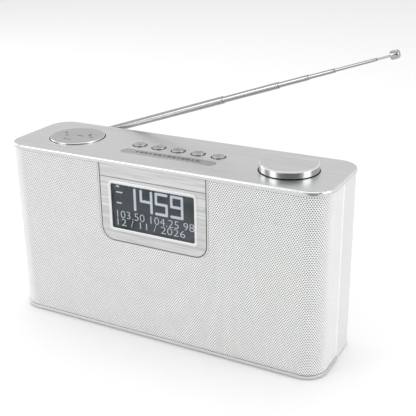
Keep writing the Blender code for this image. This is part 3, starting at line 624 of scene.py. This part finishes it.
cell_low, cell_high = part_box("lcd_panel")
cell = plate("display_cell", cell_high.x, cell_low.z, cell_high.z, cell_low.y, cell_high.y, 0.6 * mm)
bevel(cell, sharp_at("Y", cell_low.y), 0.15 * mm, 2)
smooth(cell)
dark_glass, place = new_finish(
    "dark_display_glass", (0.02, 0.025, 0.028), 0.3, Specular_IOR_Level=0.15, Emission_Strength=1.0
)
drift = place.noise((26, 26, 34), 2).between(0.35, 0.65)
drift.tint((0.012, 0.02, 0.016), (0.024, 0.026, 0.034)).feeds("Base Color")
drift.tint((0.005, 0.016, 0.01), (0.045, 0.047, 0.056)).feeds("Emission Color")
finish_piece(cell, "cabinet", "lcd_glass", ["lcd_panel"], dark_glass)

lit, place = new_finish("lit_figures", (0.3, 0.3, 0.35), 0.5, Emission_Strength=1.0)
place.noise(500, 1).tint((0.33, 0.348, 0.385), (0.42, 0.438, 0.475)).feeds("Emission Color")
stroke_back = cell_low.y
stroke_front = cell_low.y - 0.06 * mm
window_width = 2 * window_x
window_height = 2 * window_half


def stroke(start, end, width):
    """A lit bar from one point to another, with round ends. Points are (x, z)."""
    half = width / 2
    low_x, high_x = sorted((start[0], end[0]))
    low_z, high_z = sorted((start[1], end[1]))
    front = stroke_front
    if high_x == low_x:  # an upright bar is a hair lower and thinner than the bars that it crosses
        half *= 0.98
        front += 0.005 * mm
    low = (low_x - half, front, low_z - half)
    piece = block("stroke", low, (high_x + half, stroke_back, high_z + half))
    return bevel(piece, runs_along("Y"), half * 0.9, 4)


def figure(digit, left, low_z, width, height, line):
    """The strokes of one square figure."""
    right, middle, top = left + width, low_z + height / 2, low_z + height
    places = {
        "top": ((left, top), (right, top)),
        "middle": ((left, middle), (right, middle)),
        "bottom": ((left, low_z), (right, low_z)),
        "upper left": ((left, middle), (left, top)),
        "lower right": ((right, low_z), (right, middle)),
        "right": ((right, low_z), (right, top)),
    }
    shown = {
        "1": ["right"],
        "4": ["upper left", "middle", "right"],
        "5": ["top", "upper left", "middle", "lower right", "bottom"],
        "9": ["top", "upper left", "middle", "right", "bottom"],
    }[digit]
    return [stroke(*places[part], line) for part in shown]


clock = []
clock_low = window_low + 0.47 * window_height
clock_height = 0.44 * window_height
clock_left = -window_x + 0.17 * window_width
clock_pitch = 0.183 * window_width
figure_width = 0.125 * window_width
clock_line = 2.1 * mm
for number, digit in enumerate("1459"):
    left = clock_left + number * clock_pitch
    if digit == "1":
        left -= figure_width * 0.15
    clock += figure(digit, left, clock_low, figure_width, clock_height, clock_line)
finish_piece(join("clock_figures", *clock), "cabinet", "lcd_glass", None, lit)


def number_row(name, text, low_z, height, left, right):
    """A row of small figures, stretched to fit between two places."""
    bpy.ops.object.select_all(action="DESELECT")
    bpy.ops.object.text_add()
    row = bpy.context.object
    row.data.body = text
    row.data.extrude = 0.03
    row.data.resolution_u = 3
    row.data.offset = -0.016
    bpy.ops.object.convert(target="MESH")
    row = bpy.context.object
    spots = np.array([point.co for point in row.data.vertices])
    start, end = spots.min(0), spots.max(0)
    wide = (right - left) / (end[0] - start[0])
    tall = height / (end[1] - start[1])
    deep = (stroke_back - stroke_front) / (end[2] - start[2])
    for point in row.data.vertices:
        x, y, z = point.co
        out = stroke_back - (z - start[2]) * deep
        point.co = (left + (x - start[0]) * wide, out, low_z + (y - start[1]) * tall)
    row.name = name
    row.data.name = name
    edit(row, "VERT")
    bpy.ops.mesh.remove_doubles(threshold=1e-7)
    bpy.ops.mesh.normals_make_consistent(inside=False)
    done()
    finish_piece(row, "cabinet", "lcd_glass", None, lit)


row_left = -window_x + 0.045 * window_width
for name, text, up, height, short in (
    ("number_row_upper", "103.50 104.25 98", 7.9 * mm, 6.0 * mm, 1.4 * mm),
    ("number_row_lower", "12 / 11 / 2026", 1.7 * mm, 5.6 * mm, 9 * mm),
):
    number_row(name, text, window_low + up, height, row_left, window_x - short)
bars = []
bar_line = 1.1 * mm
for part, length in ((0.93, 2.6 * mm), (0.80, 5.2 * mm), (0.56, 4.0 * mm)):
    z = window_low + part * window_height
    bars.append(stroke((row_left + 0.6 * mm, z), (row_left + length, z), bar_line))
finish_piece(join("signal_bars", *bars), "cabinet", "lcd_glass", None, lit)

# The rear cover: one white satin moulding, bent round the back half and the sides. Four screws hold
# it, in recesses. A blank rating panel is sunk a little into its back.

cover_wall = 2.4 * mm
cover = block("rear_cover_shell", (-cover_high.x, seam_edge, cover_low.z), cover_high)
bevel(cover, runs_along("Z", lambda x, y, z: y > 20 * mm), turn, 20)
edit(cover, "FACE", lambda face: abs(face.normal.z) > 0.9 or face.normal.y < -0.9)
bpy.ops.mesh.delete(type="FACE")
done()
wall = cover.modifiers.new("wall", "SOLIDIFY")
wall.thickness = cover_wall
wall.offset = -1
wall.use_even_offset = True
apply_all(cover)
for height in (cover_low.z, cover_high.z):
    bevel(cover, sharp_at("Z", height), 0.3 * mm, 2)


def facing_back(x, y, z):
    """Lays what is turned round Z along +Y."""
    return Matrix.Translation((x, y, z)) @ Matrix.Rotation(math.radians(-90), 4, "X")


def turned(name, profile, matrix, steps=48):
    """A piece turned from a closed profile of (radius, height) points."""
    bpy.ops.object.select_all(action="DESELECT")
    bpy.ops.mesh.primitive_circle_add(vertices=len(profile), radius=1, fill_type="NOTHING")
    piece = settle(name)
    for point, (radius, height) in zip(piece.data.vertices, profile):
        point.co = (radius, 0, height)
    edit(piece, "VERT")
    bpy.ops.mesh.spin(steps=steps, angle=math.tau, center=(0, 0, 0), axis=(0, 0, 1))
    bpy.ops.mesh.select_all(action="SELECT")
    bpy.ops.mesh.remove_doubles(threshold=1e-7)
    bpy.ops.mesh.dissolve_degenerate(threshold=1e-7)
    bpy.ops.mesh.delete_loose()
    bpy.ops.mesh.select_all(action="SELECT")
    bpy.ops.mesh.normals_make_consistent(inside=False)
    done()
    piece.data.transform(matrix)
    return piece


def middle_of(node):
    low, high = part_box(node)
    return (low + high) / 2




def round_cutter(radius, spot):
    """A cutter for a round hole through the cover."""
    inside, outside = -4 * mm, 2 * mm
    profile = [(0, inside), (radius, inside), (radius, outside), (0, outside)]
    return turned("hole", profile, facing_back(spot.x, cover_high.y, spot.z))


pivot = middle_of("antenna_pin")
stem_hole = 2.65 * mm
screws = [f"rear_screw_{number}" for number in (1, 2, 3, 4)]
screw_seat = cover_high.y - 1.6 * mm
shank_hole, head_hole = 1.45 * mm, 3.1 * mm
# For each socket: the radius of its nozzle, of its hole and of its centre pin.
sockets = {"power_socket": (4.5 * mm, 3.15 * mm, 1.0 * mm), "phones_socket": (3.6 * mm, 1.8 * mm, 0.0)}
tools = []
for screw in screws:
    spot = middle_of(screw)
    inside, outside = -9 * mm, 3 * mm
    profile = [(0, inside), (shank_hole, inside), (shank_hole, 0), (head_hole, 0), (head_hole, outside)]
    tools.append(turned("hole", profile + [(0, outside)], facing_back(spot.x, screw_seat, spot.z)))
for socket, (nozzle, _, _) in sockets.items():
    tools.append(round_cutter(nozzle + 0.3 * mm, middle_of(socket)))
tools.append(round_cutter(stem_hole, pivot))
rating_x, rating_low, rating_high, rating_depth = 34 * mm, 40 * mm, 82 * mm, 0.4 * mm
rating_floor = cover_high.y - rating_depth
tools.append(
    plate("rating_panel", rating_x, rating_low, rating_high, rating_floor, cover_high.y + mm, 4 * mm)
)
combine(cover, "DIFFERENCE", *tools)
bevel(cover, sharp_at("Y", cover_high.y), 0.25 * mm, 2)
smooth(cover)
white_satin, place = new_finish("white_satin_moulding", 0.68, 0.42)
fine = place.noise(1500, 3)
fine.raises(0.012 * mm)
(0.38 + fine * 0.1).feeds("Roughness")
drift = place.noise(14).between(0.3, 0.7)
drift.tint(0.66, 0.69).feeds("Base Color")
finish_piece(cover, "cabinet", "white_plastic", ["rear_cover"], white_satin)

# The cover's screws: zinc-plated steel, with a domed head and a cross recess. They sit in the
# cover's recesses and hold it to the frame inside.

zinc = polished_metal("zinc_plate", (0.62, 0.62, 0.63), 0.3)
under, head, shank, length = 0.15 * mm, 2.8 * mm, 1.3 * mm, 9 * mm
rim_height, dome_rise = 0.95 * mm, 0.6 * mm
slot_length, slot_width = 1.7 * mm, 0.32 * mm
for screw in screws:
    spot = middle_of(screw)
    spot.y = screw_seat
    dome = [
        (head * math.cos(angle), rim_height + dome_rise * math.sin(angle)) for angle in (0, 0.4, 0.8, 1.2)
    ]
    profile = [(0, -length), (shank, -length), (shank, under), (head, under), *dome]
    piece = turned(screw + "_head", profile + [(0, rim_height + dome_rise)], facing_back(*spot))
    for wide, tall in ((slot_length, slot_width), (slot_width, slot_length)):
        low = (spot.x - wide, spot.y + 0.8 * mm, spot.z - tall)
        slot = block("slot", low, (spot.x + wide, spot.y + 3 * mm, spot.z + tall))
        combine(piece, "DIFFERENCE", slot)
    smooth(piece, 40)
    finish_piece(piece, "cabinet", "steel", [screw], zinc)

# The sockets: two black mouldings that stand in holes of the cover, each with a collar behind it.
# The larger one takes the power supply on its centre pin, and the smaller one takes headphones.

black_satin = mottled("black_moulding", 0.03, 0.5, 0.022, 0.04, 1200, 3, 0.015 * mm)
edge = 0.3 * mm
hole_floor, back = -9 * mm, -12 * mm
collar_front, collar_back, collar_reach = -2.7 * mm, -5.2 * mm, 1.5 * mm
for socket, (nozzle, hole, pin) in sockets.items():
    spot = middle_of(socket)
    profile = [(0, hole_floor)]
    if pin:
        profile = [(0, -1.5 * mm), (pin * 0.7, -1.5 * mm), (pin, -1.9 * mm), (pin, hole_floor)]
    profile += [
        (hole, hole_floor),
        (hole, -edge),
        (hole + edge, 0),
        (nozzle - edge, 0),
        (nozzle, -edge),
        (nozzle, collar_front),
        (nozzle + collar_reach, collar_front),
        (nozzle + collar_reach, collar_back),
        (nozzle, collar_back),
        (nozzle, back),
        (0, back),
    ]
    piece = smooth(turned(socket + "_body", profile, facing_back(spot.x, cover_high.y, spot.z)), 40)
    finish_piece(piece, "cabinet", "black_plastic", [socket], black_satin)

# The top panel: a thick aluminium plate, brushed along its length, with its outer edge diamond-cut
# bright and each opening broken by a small chamfer. The knob turns in a shallow recess.

key_names = ("key_power", "key_mode", "key_menu", "key_info", "key_preset")
disc_spot = middle_of("nav_disc")
knob_spot = middle_of("tuning_knob")
bar_spot = middle_of("snooze_bar")
bar_half = 40 * mm
bar_radius = 4.75 * mm
bar_gap = 0.3 * mm
key_opening = 5.9 * mm
disc_opening = 22.6 * mm
knob_recess, recess_depth = 22.3 * mm, 1.2 * mm
shaft_opening = 5.3 * mm


def upright(name, profile, spot, steps):
    """A piece turned round an upright axis. Its profile's heights are above the table."""
    return turned(name, profile, Matrix.Translation((spot.x, spot.y, 0)), steps)


def opening(radius, spot, low, high, steps):
    """A cutter for a round opening in the panel."""
    return upright("opening", [(0, low), (radius, low), (radius, high), (0, high)], spot, steps)


def long_bar(name, half, radius, spot, low, high):
    """A bar with round ends."""
    start = (spot.x - half, spot.y - radius, low)
    piece = block(name, start, (spot.x + half, spot.y + radius, high))
    return bevel(piece, runs_along("Z"), radius * 0.998, 14)


panel = block("top_plate", panel_low, panel_high)
bevel(panel, runs_along("Z"), corner, 24)
below, above = panel_low.z - mm, panel_high.z + mm
tools = [opening(key_opening, middle_of(name), below, above, 40) for name in key_names]
tools.append(opening(disc_opening, disc_spot, below, above, 96))
tools.append(opening(knob_recess, knob_spot, panel_high.z - recess_depth, above, 96))
tools.append(opening(shaft_opening, knob_spot, below, above, 40))
tools.append(long_bar("slot", bar_half + bar_gap, bar_radius + bar_gap, bar_spot, below, above))
combine(panel, "DIFFERENCE", *tools)
edit(panel, "FACE")
bpy.ops.mesh.dissolve_limited(angle_limit=math.radians(0.5))
done()


def on_rim(edge):
    """Whether an edge lies on the panel's outline, and not round an opening."""
    point = (edge.verts[0].co + edge.verts[1].co) / 2
    side, end = abs(point.x), abs(point.y)
    turn_x, turn_y = panel_high.x - corner, panel_high.y - corner
    if side > turn_x and end > turn_y:
        return math.hypot(side - turn_x, end - turn_y) > corner - 0.5 * mm
    return side > panel_high.x - 0.1 * mm or end > panel_high.y - 0.1 * mm


top_edge = sharp_at("Z", panel_high.z)
bottom_edge = sharp_at("Z", panel_low.z)
opening_chamfer, top_chamfer, bottom_chamfer = 0.12 * mm, 1.2 * mm, 0.45 * mm
bevel(panel, lambda edge: top_edge(edge) and not on_rim(edge), opening_chamfer, 2)
bevel(panel, lambda edge: top_edge(edge) and on_rim(edge), top_chamfer, 4)
bevel(panel, lambda edge: bottom_edge(edge) and on_rim(edge), bottom_chamfer, 2)
smooth(panel)
panel_metal = brushed_metal("brushed_panel", 0.70, (0.56, 0.56, 0.565), 0.32, (16, 2400, 2400))
side_metal = brushed_metal("brushed_side", (0.66, 0.66, 0.665), (0.56, 0.56, 0.565), 0.25)
# Painted shade: a near-black finish for the walls and floors inside the openings and the knob's recess,
# where shade falls.
bore_painted_shade = mottled("painted_shade_bore", 0.06, 0.6, 0.04, 0.09, 800, metallic=0.6)


def slopes(face):
    return abs(face.normal.z) < 0.95


def stands(face):
    return abs(face.normal.z) < 0.1


def within(face):
    """Whether a face is a wall or a floor inside one of the panel's openings."""
    side, end = abs(face.center.x), abs(face.center.y)
    inside = side < panel_high.x - 6 * mm and end < panel_high.y - 4 * mm
    return inside and (stands(face) or face.center.z < panel_high.z - 0.5 * mm)


finish_piece(
    panel, "cabinet", "brushed_aluminium", ["top_panel"], panel_metal, edge_metal, side_metal, bore_painted_shade
)
second_finish(panel, slopes)
second_finish(panel, stands, 2)
# The faces inside the openings take the painted shade.
second_finish(panel, within, 3)

# The navigation disc: a thin aluminium disc, a little dished and brushed like the panel, on a
# two-axis gimbal. A few plain dots and bars are printed on it.

disc_metal = brushed_metal("brushed_disc", (0.52, 0.52, 0.515), 0.40, 0.3, (18, 2100, 2100))
disc_radius = 21.9 * mm
disc_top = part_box("nav_disc")[1].z
disc_under = panel_low.z + 0.6 * mm
dish_depth = 0.25 * mm


def dished(part, start):
    """How deep a dish is at a share of the radius. It starts at another share, near the edge."""
    return dish_depth * (1 - (part / start) ** 2)


dish_start = 0.94
profile = [
    (0, disc_under),
    (disc_radius - 0.2 * mm, disc_under),
    (disc_radius, disc_under + 0.2 * mm),
    (disc_radius, disc_top - 0.5 * mm),
    (disc_radius - 0.15 * mm, disc_top - 0.2 * mm),
    (disc_radius - 0.5 * mm, disc_top),
    *[(disc_radius * part, disc_top - dished(part, dish_start)) for part in (0.94, 0.75, 0.5, 0.25, 0.0)],
]
disc = upright("navigation_disc", profile, disc_spot, 96)
lugs = copy_below("disc_lugs", "nav_disc", disc_under - 0.2 * mm)
smooth(join("navigation_disc", disc, lugs))
finish_piece(disc, "disc", "brushed_aluminium", ["nav_disc"], disc_metal, edge_metal)
second_finish(disc, lambda face: abs(face.normal.z) < 0.9 and face.center.z > disc_under)

ink = mottled("dark_print", 0.05, 0.5, 0.04, 0.09, 900)
marks = []
for x, y, wide, long in (
    (-14, 4, 2.4, 2.6),
    (-9, -2, 2.4, 2.6),
    (2, 1, 6.0, 1.2),
    (8, 6, 2.0, 4.2),
    (13, 1, 5.0, 1.2),
    (-5, -11, 0.9, 3.4),
    (-2.5, -11, 0.9, 3.4),
    (0, -11, 0.9, 3.4),
):
    spot = Vector((disc_spot.x + x * mm, disc_spot.y + y * mm, disc_top))
    half = Vector((wide / 2 * mm, long / 2 * mm, 0))
    spot.z -= dished(math.hypot(x, y) * mm / disc_radius, dish_start)
    sunk, proud = Vector((0, 0, 0.1 * mm)), Vector((0, 0, 0.03 * mm))
    mark = block("mark", spot - half - sunk, spot + half + proud)
    marks.append(bevel(mark, runs_along("Z"), min(wide, long) * 0.45 * mm, 4))
finish_piece(join("disc_marks", *marks), "disc", "brushed_aluminium", None, ink)

# The keys: five turned aluminium caps with a dished top and a small printed bar, each on a stem over
# its switch, held from below by a flange.

key_metal = brushed_metal("brushed_key", (0.50, 0.50, 0.495), 0.38, 0.28, (30, 2600, 2600))
flange_top = panel_low.z - 2.6 * mm
key_stem, key_flange, key_cap = 2 * mm, 6.75 * mm, 5.2 * mm
for name in key_names:
    spot = middle_of(name)
    low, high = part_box(name)
    top = high.z
    profile = [
        (0, low.z),
        (key_stem, low.z),
        (key_stem, flange_top - mm),
        (key_flange, flange_top - mm),
        (key_flange, flange_top),
        (key_cap, flange_top),
        (key_cap, top - 0.4 * mm),
        (key_cap - 0.12 * mm, top - 0.12 * mm),
        (key_cap - 0.4 * mm, top),
        *[(key_cap * part, top - dished(part, 0.9)) for part in (0.9, 0.7, 0.45, 0.2, 0.0)],
    ]
    piece = smooth(upright(name + "_cap", profile, spot, 40), 40)
    finish_piece(piece, name, "brushed_aluminium", [name], key_metal)
    low = (spot.x - 1.7 * mm, spot.y - 0.3 * mm, top - 0.35 * mm)
    mark = block(name + "_mark", low, (spot.x + 1.7 * mm, spot.y + 0.3 * mm, top - 0.2 * mm))
    bevel(mark, runs_along("Z"), 0.27 * mm, 3)
    finish_piece(mark, name, "brushed_aluminium", None, ink)

# The long bar in front of the keys: brushed aluminium with a softened edge and a printed row of
# small plain dots and bars.

bar_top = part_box("snooze_bar")[1].z
bar = long_bar("snooze_bar_cap", bar_half, bar_radius, bar_spot, flange_top - 0.3 * mm, bar_top)
bevel(bar, sharp_at("Z", bar_top), 0.35 * mm, 3)
stems = copy_below("stems", "snooze_bar", flange_top - 0.1 * mm)
smooth(join("snooze_bar_cap", bar, stems))
bar_metal = brushed_metal("brushed_bar", 0.44, 0.34, 0.28, (30, 2600, 2600))
finish_piece(bar, "snooze", "brushed_aluminium", ["snooze_bar"], bar_metal)
marks = []
first_mark, mark_pitch, mark_half = -26.5 * mm, 4.0 * mm, 1.5 * mm
for number in range(14):
    x = bar_spot.x + first_mark + number * mark_pitch
    half = mark_half if number % 3 else 0.9 * mm
    low = (x - half, bar_spot.y - mark_half, bar_top - 0.1 * mm)
    mark = block("mark", low, (x + half, bar_spot.y + mark_half, bar_top + 0.03 * mm))
    marks.append(bevel(mark, runs_along("Z"), 0.7 * mm, 4))
finish_piece(join("bar_marks", *marks), "snooze", "brushed_aluminium", None, ink)

# The tuning knob: turned from solid aluminium and hollow below, with a satin top, a bright chamfer
# and a polished side. It is pressed on to the encoder's shaft.

knob_low, knob_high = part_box("tuning_knob")
knob_radius = 21.6 * mm
knob_chamfer, foot_inset, knob_wall = 1.2 * mm, 0.9 * mm, 2 * mm
boss_radius, boss_bore = 6 * mm, 2.65 * mm
top, bottom = knob_high.z, knob_low.z
roof, bore_end = top - 2.3 * mm, top - 1.6 * mm
profile = [
    (0, top),
    (knob_radius - knob_chamfer, top),
    (knob_radius - 1.05 * mm, top - 0.04 * mm),
    (knob_radius - 0.1 * mm, top - 1.0 * mm),
    (knob_radius, top - knob_chamfer),
    (knob_radius, bottom + 1.0 * mm),
    (knob_radius - foot_inset, bottom + 0.7 * mm),
    (knob_radius - foot_inset, bottom),
    (knob_radius - knob_wall, bottom),
    (knob_radius - knob_wall, roof),
    (boss_radius, roof),
    (boss_radius, bottom + 0.3 * mm),
    (boss_bore, bottom + 0.3 * mm),
    (boss_bore, bore_end),
    (0, bore_end),
]
knob = smooth(upright("knob_cap", profile, knob_spot, 128))
knob_metal, place = new_finish("turned_knob_top", 0.66, 0.3, 1.0)
lines = place.noise((14, 2300, 2300), 4).between(0.3, 0.7)
lines.tint(0.54, 0.70).feeds("Base Color")
(0.26 + lines * 0.1).feeds("Roughness")
lines.raises(0.004 * mm)
# Painted reflection: the polished side is given a darker colour than the top, to stand for the dark
# surroundings that it reflects.
knob_painted_dark_side = polished_metal("polished_knob_side_painted_dark", (0.53, 0.55, 0.54), 0.1)
finish_piece(knob, "knob", "brushed_aluminium", ["tuning_knob"], knob_metal, edge_metal, knob_painted_dark_side)
second_finish(knob, lambda face: abs(face.normal.z) < 0.9)
second_finish(knob, stands, 2)

# The antenna's foot and swivel: a white washer on the cover, and a chromed elbow that turns in it. Two
# ears on the elbow hold the hinge pin, and a spring clip inside the cover keeps its stem in.

chrome = polished_metal("chrome", (0.42, 0.42, 0.43), 0.1)
pivot_turn = Matrix.Translation(pivot)
slide_axes = {joint["name"]: Vector(joint["axis"]) for joint in frame["joints"]}
mast_way = slide_axes["mast_slide_2"]
lean = pivot_turn @ Matrix.Rotation(math.atan2(mast_way.x, mast_way.z), 4, "Y")
foot_low, foot_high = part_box("antenna_foot")
foot_radius = (foot_high.x - foot_low.x) / 2
profile = [
    (stem_hole, foot_low.y),
    (foot_radius, foot_low.y),
    (foot_radius, foot_high.y - 0.7 * mm),
    (foot_radius - 0.2 * mm, foot_high.y - 0.25 * mm),
    (foot_radius - 0.7 * mm, foot_high.y),
    (stem_hole, foot_high.y),
]
foot = smooth(turned("antenna_washer", profile, facing_back(pivot.x, 0, pivot.z)), 50)
finish_piece(foot, "cabinet", "white_plastic", ["antenna_foot"], white_satin)

along_y = Matrix.Rotation(math.radians(-90), 4, "X")
clip_low, clip_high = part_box("antenna_clip")
clip_front, clip_back = clip_low.y - pivot.y, clip_high.y - pivot.y
disc_front = foot_high.y + 0.3 * mm - pivot.y
disc_back = disc_front + 1.0 * mm
stem, groove, disc_edge = 2.5 * mm, 1.8 * mm, 6.5 * mm
clip_gap, stem_end = 0.15 * mm, clip_front - 1.6 * mm
profile = [
    (0, stem_end),
    (stem, stem_end),
    (stem, clip_front - clip_gap),
    (groove, clip_front - clip_gap),
    (groove, clip_back + clip_gap),
    (stem, clip_back + clip_gap),
    (stem, disc_front),
    (disc_edge - 0.1 * mm, disc_front),
    (disc_edge, disc_front + 0.1 * mm),
    (disc_edge, disc_back - 0.35 * mm),
    (disc_edge - 0.35 * mm, disc_back),
    (0, disc_back),
]
elbow = turned("antenna_swivel_elbow", profile, along_y, 64)
ear_in, ear_out, ear_half = 1.8 * mm, 3.9 * mm, 3.2 * mm
for side in (-1, 1):
    inner, outer = sorted((side * ear_in, side * ear_out))
    ear = block("ear", (inner, disc_back - 0.5 * mm, -ear_half), (outer, ear_half, ear_half))
    bevel(ear, runs_along("X", lambda x, y, z: y > 0), 3.15 * mm, 10)
    for face_x in (inner, outer):
        bevel(ear, sharp_at("X", face_x), 0.25 * mm, 2)
    combine(elbow, "UNION", ear)


def pin_bore():
    """A cutter for the hole of the hinge pin."""
    radius, reach = 1.15 * mm, 6 * mm
    profile = [(0, -reach), (radius, -reach), (radius, reach), (0, reach)]
    return turned("bore", profile, Matrix.Rotation(math.radians(90), 4, "Y"), 32)


combine(elbow, "DIFFERENCE", pin_bore())
edit(elbow, "VERT")
bpy.ops.mesh.fill_holes(sides=4)
done()
elbow.data.transform(lean)
smooth(elbow, 40)
finish_piece(elbow, "antenna_swivel", "polished_metal", ["antenna_elbow"], chrome)
coat(zinc, "antenna_pin", "antenna_clip")

# The mast: six chromed brass tubes that slide in each other. Each tube's mouth is rolled in a little
# round the next one, and the first has a flat tongue that folds on the hinge pin.

section_radii = [3.0 * mm, 2.5 * mm, 2.05 * mm, 1.6 * mm, 1.2 * mm, 0.8 * mm]
for number, radius in enumerate(section_radii, 1):
    node = f"antenna_section_{number}"
    low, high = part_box(node)
    start = (low.x - pivot.x + radius * mast_way.z) / mast_way.x
    end = (high.x - pivot.x - radius * mast_way.z) / mast_way.x
    if number == len(section_radii):
        profile = [(0, start), (radius, start), (radius, end), (0, end)]
        piece = turned("mast_rod", profile, Matrix(), 24)
    else:
        bore = section_radii[number] + 0.12 * mm
        mouth = section_radii[number] + 0.06 * mm
        lip = min(0.3 * mm, radius - mouth - 0.05 * mm)
        rolled = [
            (radius, end - 2.2 * mm),
            (radius - 0.1 * mm, end - 2.0 * mm),
            (radius - 0.1 * mm, end - 1.8 * mm),
            (radius, end - 1.6 * mm),
            (radius, end - lip),
            (radius - lip * 0.3, end - lip * 0.3),
            (radius - lip, end),
            (mouth, end),
            (mouth, end - 1.5 * mm),
            (bore, end - 1.5 * mm),
        ]
        if number > 1:
            profile = [(bore, start), (radius, start), *rolled]
            piece = turned(f"mast_tube_{number}", profile, Matrix(), 32)
        else:
            shoulder, floor, edge = 4.6 * mm, 9.5 * mm, 0.4 * mm
            profile = [(0, shoulder), (radius - edge, shoulder), (radius, shoulder + edge), *rolled]
            profile += [(bore, floor), (0, floor)]
            piece = turned("mast_tube_1", profile, Matrix(), 40)
            thin, wide = 1.5 * mm, 2.6 * mm
            tongue = block("tongue", (-thin, -wide, -wide), (thin, wide, 5.5 * mm))
            bevel(tongue, runs_along("X", lambda x, y, z: z < 0), 2.55 * mm, 10)
            combine(piece, "UNION", tongue)
            combine(piece, "DIFFERENCE", pin_bore())
    piece.data.transform(lean)
    smooth(piece, 40)
    finish_piece(piece, f"mast_{number}", "polished_metal", [node], chrome)

# The tip: a small chromed bead, turned and bored from brass. It is pressed on to the last rod, so
# that the mast can be pulled out.

bead = 3.2 * mm
tip_start = end - 3.7 * mm  # the bead covers the end of the rod
tip_top = tip_start + 6.5 * mm
hole, hole_end = section_radii[-1] + 0.15 * mm, tip_start + 4 * mm
profile = [
    (0, hole_end),
    (hole, hole_end),
    (hole, tip_start),
    (bead - 0.8 * mm, tip_start),
    (bead - 0.25 * mm, tip_start + 0.25 * mm),
    (bead, tip_start + 0.8 * mm),
    (bead, tip_top - 1.7 * mm),
    (bead - 0.3 * mm, tip_top - 0.85 * mm),
    (bead - 0.95 * mm, tip_top - 0.3 * mm),
    (bead - 1.9 * mm, tip_top),
    (0, tip_top),
]
tip = turned("mast_tip_bead", profile, Matrix(), 48)
tip.data.transform(lean)
finish_piece(smooth(tip, 50), "mast_6", "polished_metal", ["antenna_tip"], chrome)

# The drivers: black baskets with pressed-paper cones and bare ferrite magnets, seen only as a shade
# through the grille.

paper = mottled("pressed_paper", 0.05, 0.9, 0.04, (0.085, 0.083, 0.08), 1100, 4, 0.05 * mm)
ferrite = mottled("ferrite", 0.08, 0.7, 0.06, (0.1, 0.1, 0.105), 800, 3, 0.03 * mm)
for side in ("left", "right"):
    coat(paper, f"speaker_{side}_cone")
    coat(black_satin, f"speaker_{side}_frame")
    coat(ferrite, f"speaker_{side}_magnet")

# The frame under the controls and its moving insides: black mouldings, with a steel encoder under the
# knob.

coat(black_satin, "control_frame", "nav_gimbal", "encoder_rotor")
coat(zinc, "encoder_body", "encoder_shaft")

# The boards: glass-fibre laminate with green solder mask over copper tracks. A tinned can screens the
# tuner, a white ribbon joins the two boards, and a milky light guide sits behind the display.

laminate, place = new_finish("green_solder_mask", (0.02, 0.16, 0.06), 0.4)
tracks = place.node("ShaderNodeTexVoronoi", {"distance": "CHEBYCHEV"}, {"Vector": place, "Scale": 220.0})
copper = tracks.between(0.42, 0.5)
copper.tint((0.015, 0.12, 0.045), (0.05, 0.26, 0.09)).feeds("Base Color")
copper.raises(0.03 * mm)
coat(laminate, "control_board", "main_board", "display_board")
tinned = polished_metal("tinned_sheet", (0.7, 0.7, 0.69), 0.28)
coat(tinned, "tuner_shield")
ribbon, place = new_finish("ribbon_jacket", (0.8, 0.8, 0.79), 0.5)
wires = place.node("ShaderNodeTexWave", {"bands_direction": "X"}, {"Vector": place, "Scale": 250.0})
wires.tint((0.62, 0.62, 0.61), (0.84, 0.84, 0.83)).feeds("Base Color")
wires.raises(0.1 * mm)
coat(ribbon, "ribbon_cable")
milky = mottled("light_guide", (0.88, 0.88, 0.93), 0.4, (0.84, 0.84, 0.9), (0.92, 0.92, 0.95), 500)
coat(milky, "lcd_backlight")

# The studio: a plain white table under an even white surround, with four large soft lights and two
# grey cards, and the camera in front of the right-hand end, a little above the radio.

bpy.ops.object.select_all(action="DESELECT")
bpy.ops.mesh.primitive_plane_add(size=8, location=(0, 0, 0))
table = settle("table")
table.data.materials.append(mottled("table_white", 0.93, 0.6, 0.925, 0.935, 3))


card_grey = mottled("card_grey", (0.15, 0.17, 0.16), 0.9, (0.13, 0.15, 0.14), (0.17, 0.2, 0.18), 20)


def grey_card(name, place, turn, width, length):
    """A round grey card, seen only in what is polished."""
    bpy.ops.object.select_all(action="DESELECT")
    bpy.ops.mesh.primitive_circle_add(vertices=48, radius=0.5, fill_type="NGON")
    card = settle(name)
    card.data.transform(Matrix.LocRotScale(Vector(place), turn, Vector((width, length, 1))))
    card.visible_camera = False
    card.visible_diffuse = False
    card.visible_shadow = False
    card.data.materials.append(card_grey)


grey_card("floor_card", (0.36, -0.52, 0.004), Euler((0, 0, 0)), 0.46, 0.5)
grey_card("front_card", (0.49, -0.9, 0.42), Euler((math.pi / 2, 0, math.radians(27))), 1.9, 0.8)

surround = bpy.data.worlds.new("surround")
surround.use_nodes = True
surround.node_tree.nodes["Background"].inputs["Color"].default_value = (1.0, 1.0, 1.0, 1.0)
surround.node_tree.nodes["Background"].inputs["Strength"].default_value = 0.86
bpy.context.scene.world = surround
bpy.context.scene.view_settings.view_transform = "Standard"


def soft_light(name, place, size, power):
    """A square soft light aimed at the middle of the radio."""
    light = bpy.data.lights.new(name, "AREA")
    light.size = size
    light.energy = power
    lamp = bpy.data.objects.new(name, light)
    lamp.location = place
    aim = Vector((0, 0, 0.07)) - Vector(place)
    lamp.rotation_euler = aim.to_track_quat("-Z", "Y").to_euler()
    bpy.context.scene.collection.objects.link(lamp)


soft_light("left_light", (-0.95, -1.25, 0.8), 0.8, 5.5)
soft_light("right_light", (1.4, 0.1, 0.7), 0.8, 5.0)
soft_light("far_left_light", (-1.6, 0.1, 0.5), 0.8, 5.0)
soft_light("top_light", (-0.2, 0.5, 1.6), 1.2, 4.0)

camera = bpy.data.objects.new("camera", bpy.data.cameras.new("camera"))
camera.data.lens = 70.73
camera.data.clip_start = 0.01
azimuth, elevation, roll = math.radians(-28.36), math.radians(21.62), math.radians(-0.78)
view_turn = Matrix.Rotation(-azimuth, 4, "Z") @ Matrix.Rotation(math.pi / 2 - elevation, 4, "X")
stand = Matrix.Translation((0.30115, -0.50788, 0.33173))
camera.matrix_world = stand @ view_turn @ Matrix.Rotation(roll, 4, "Z")
bpy.context.scene.collection.objects.link(camera)
bpy.context.scene.camera = camera
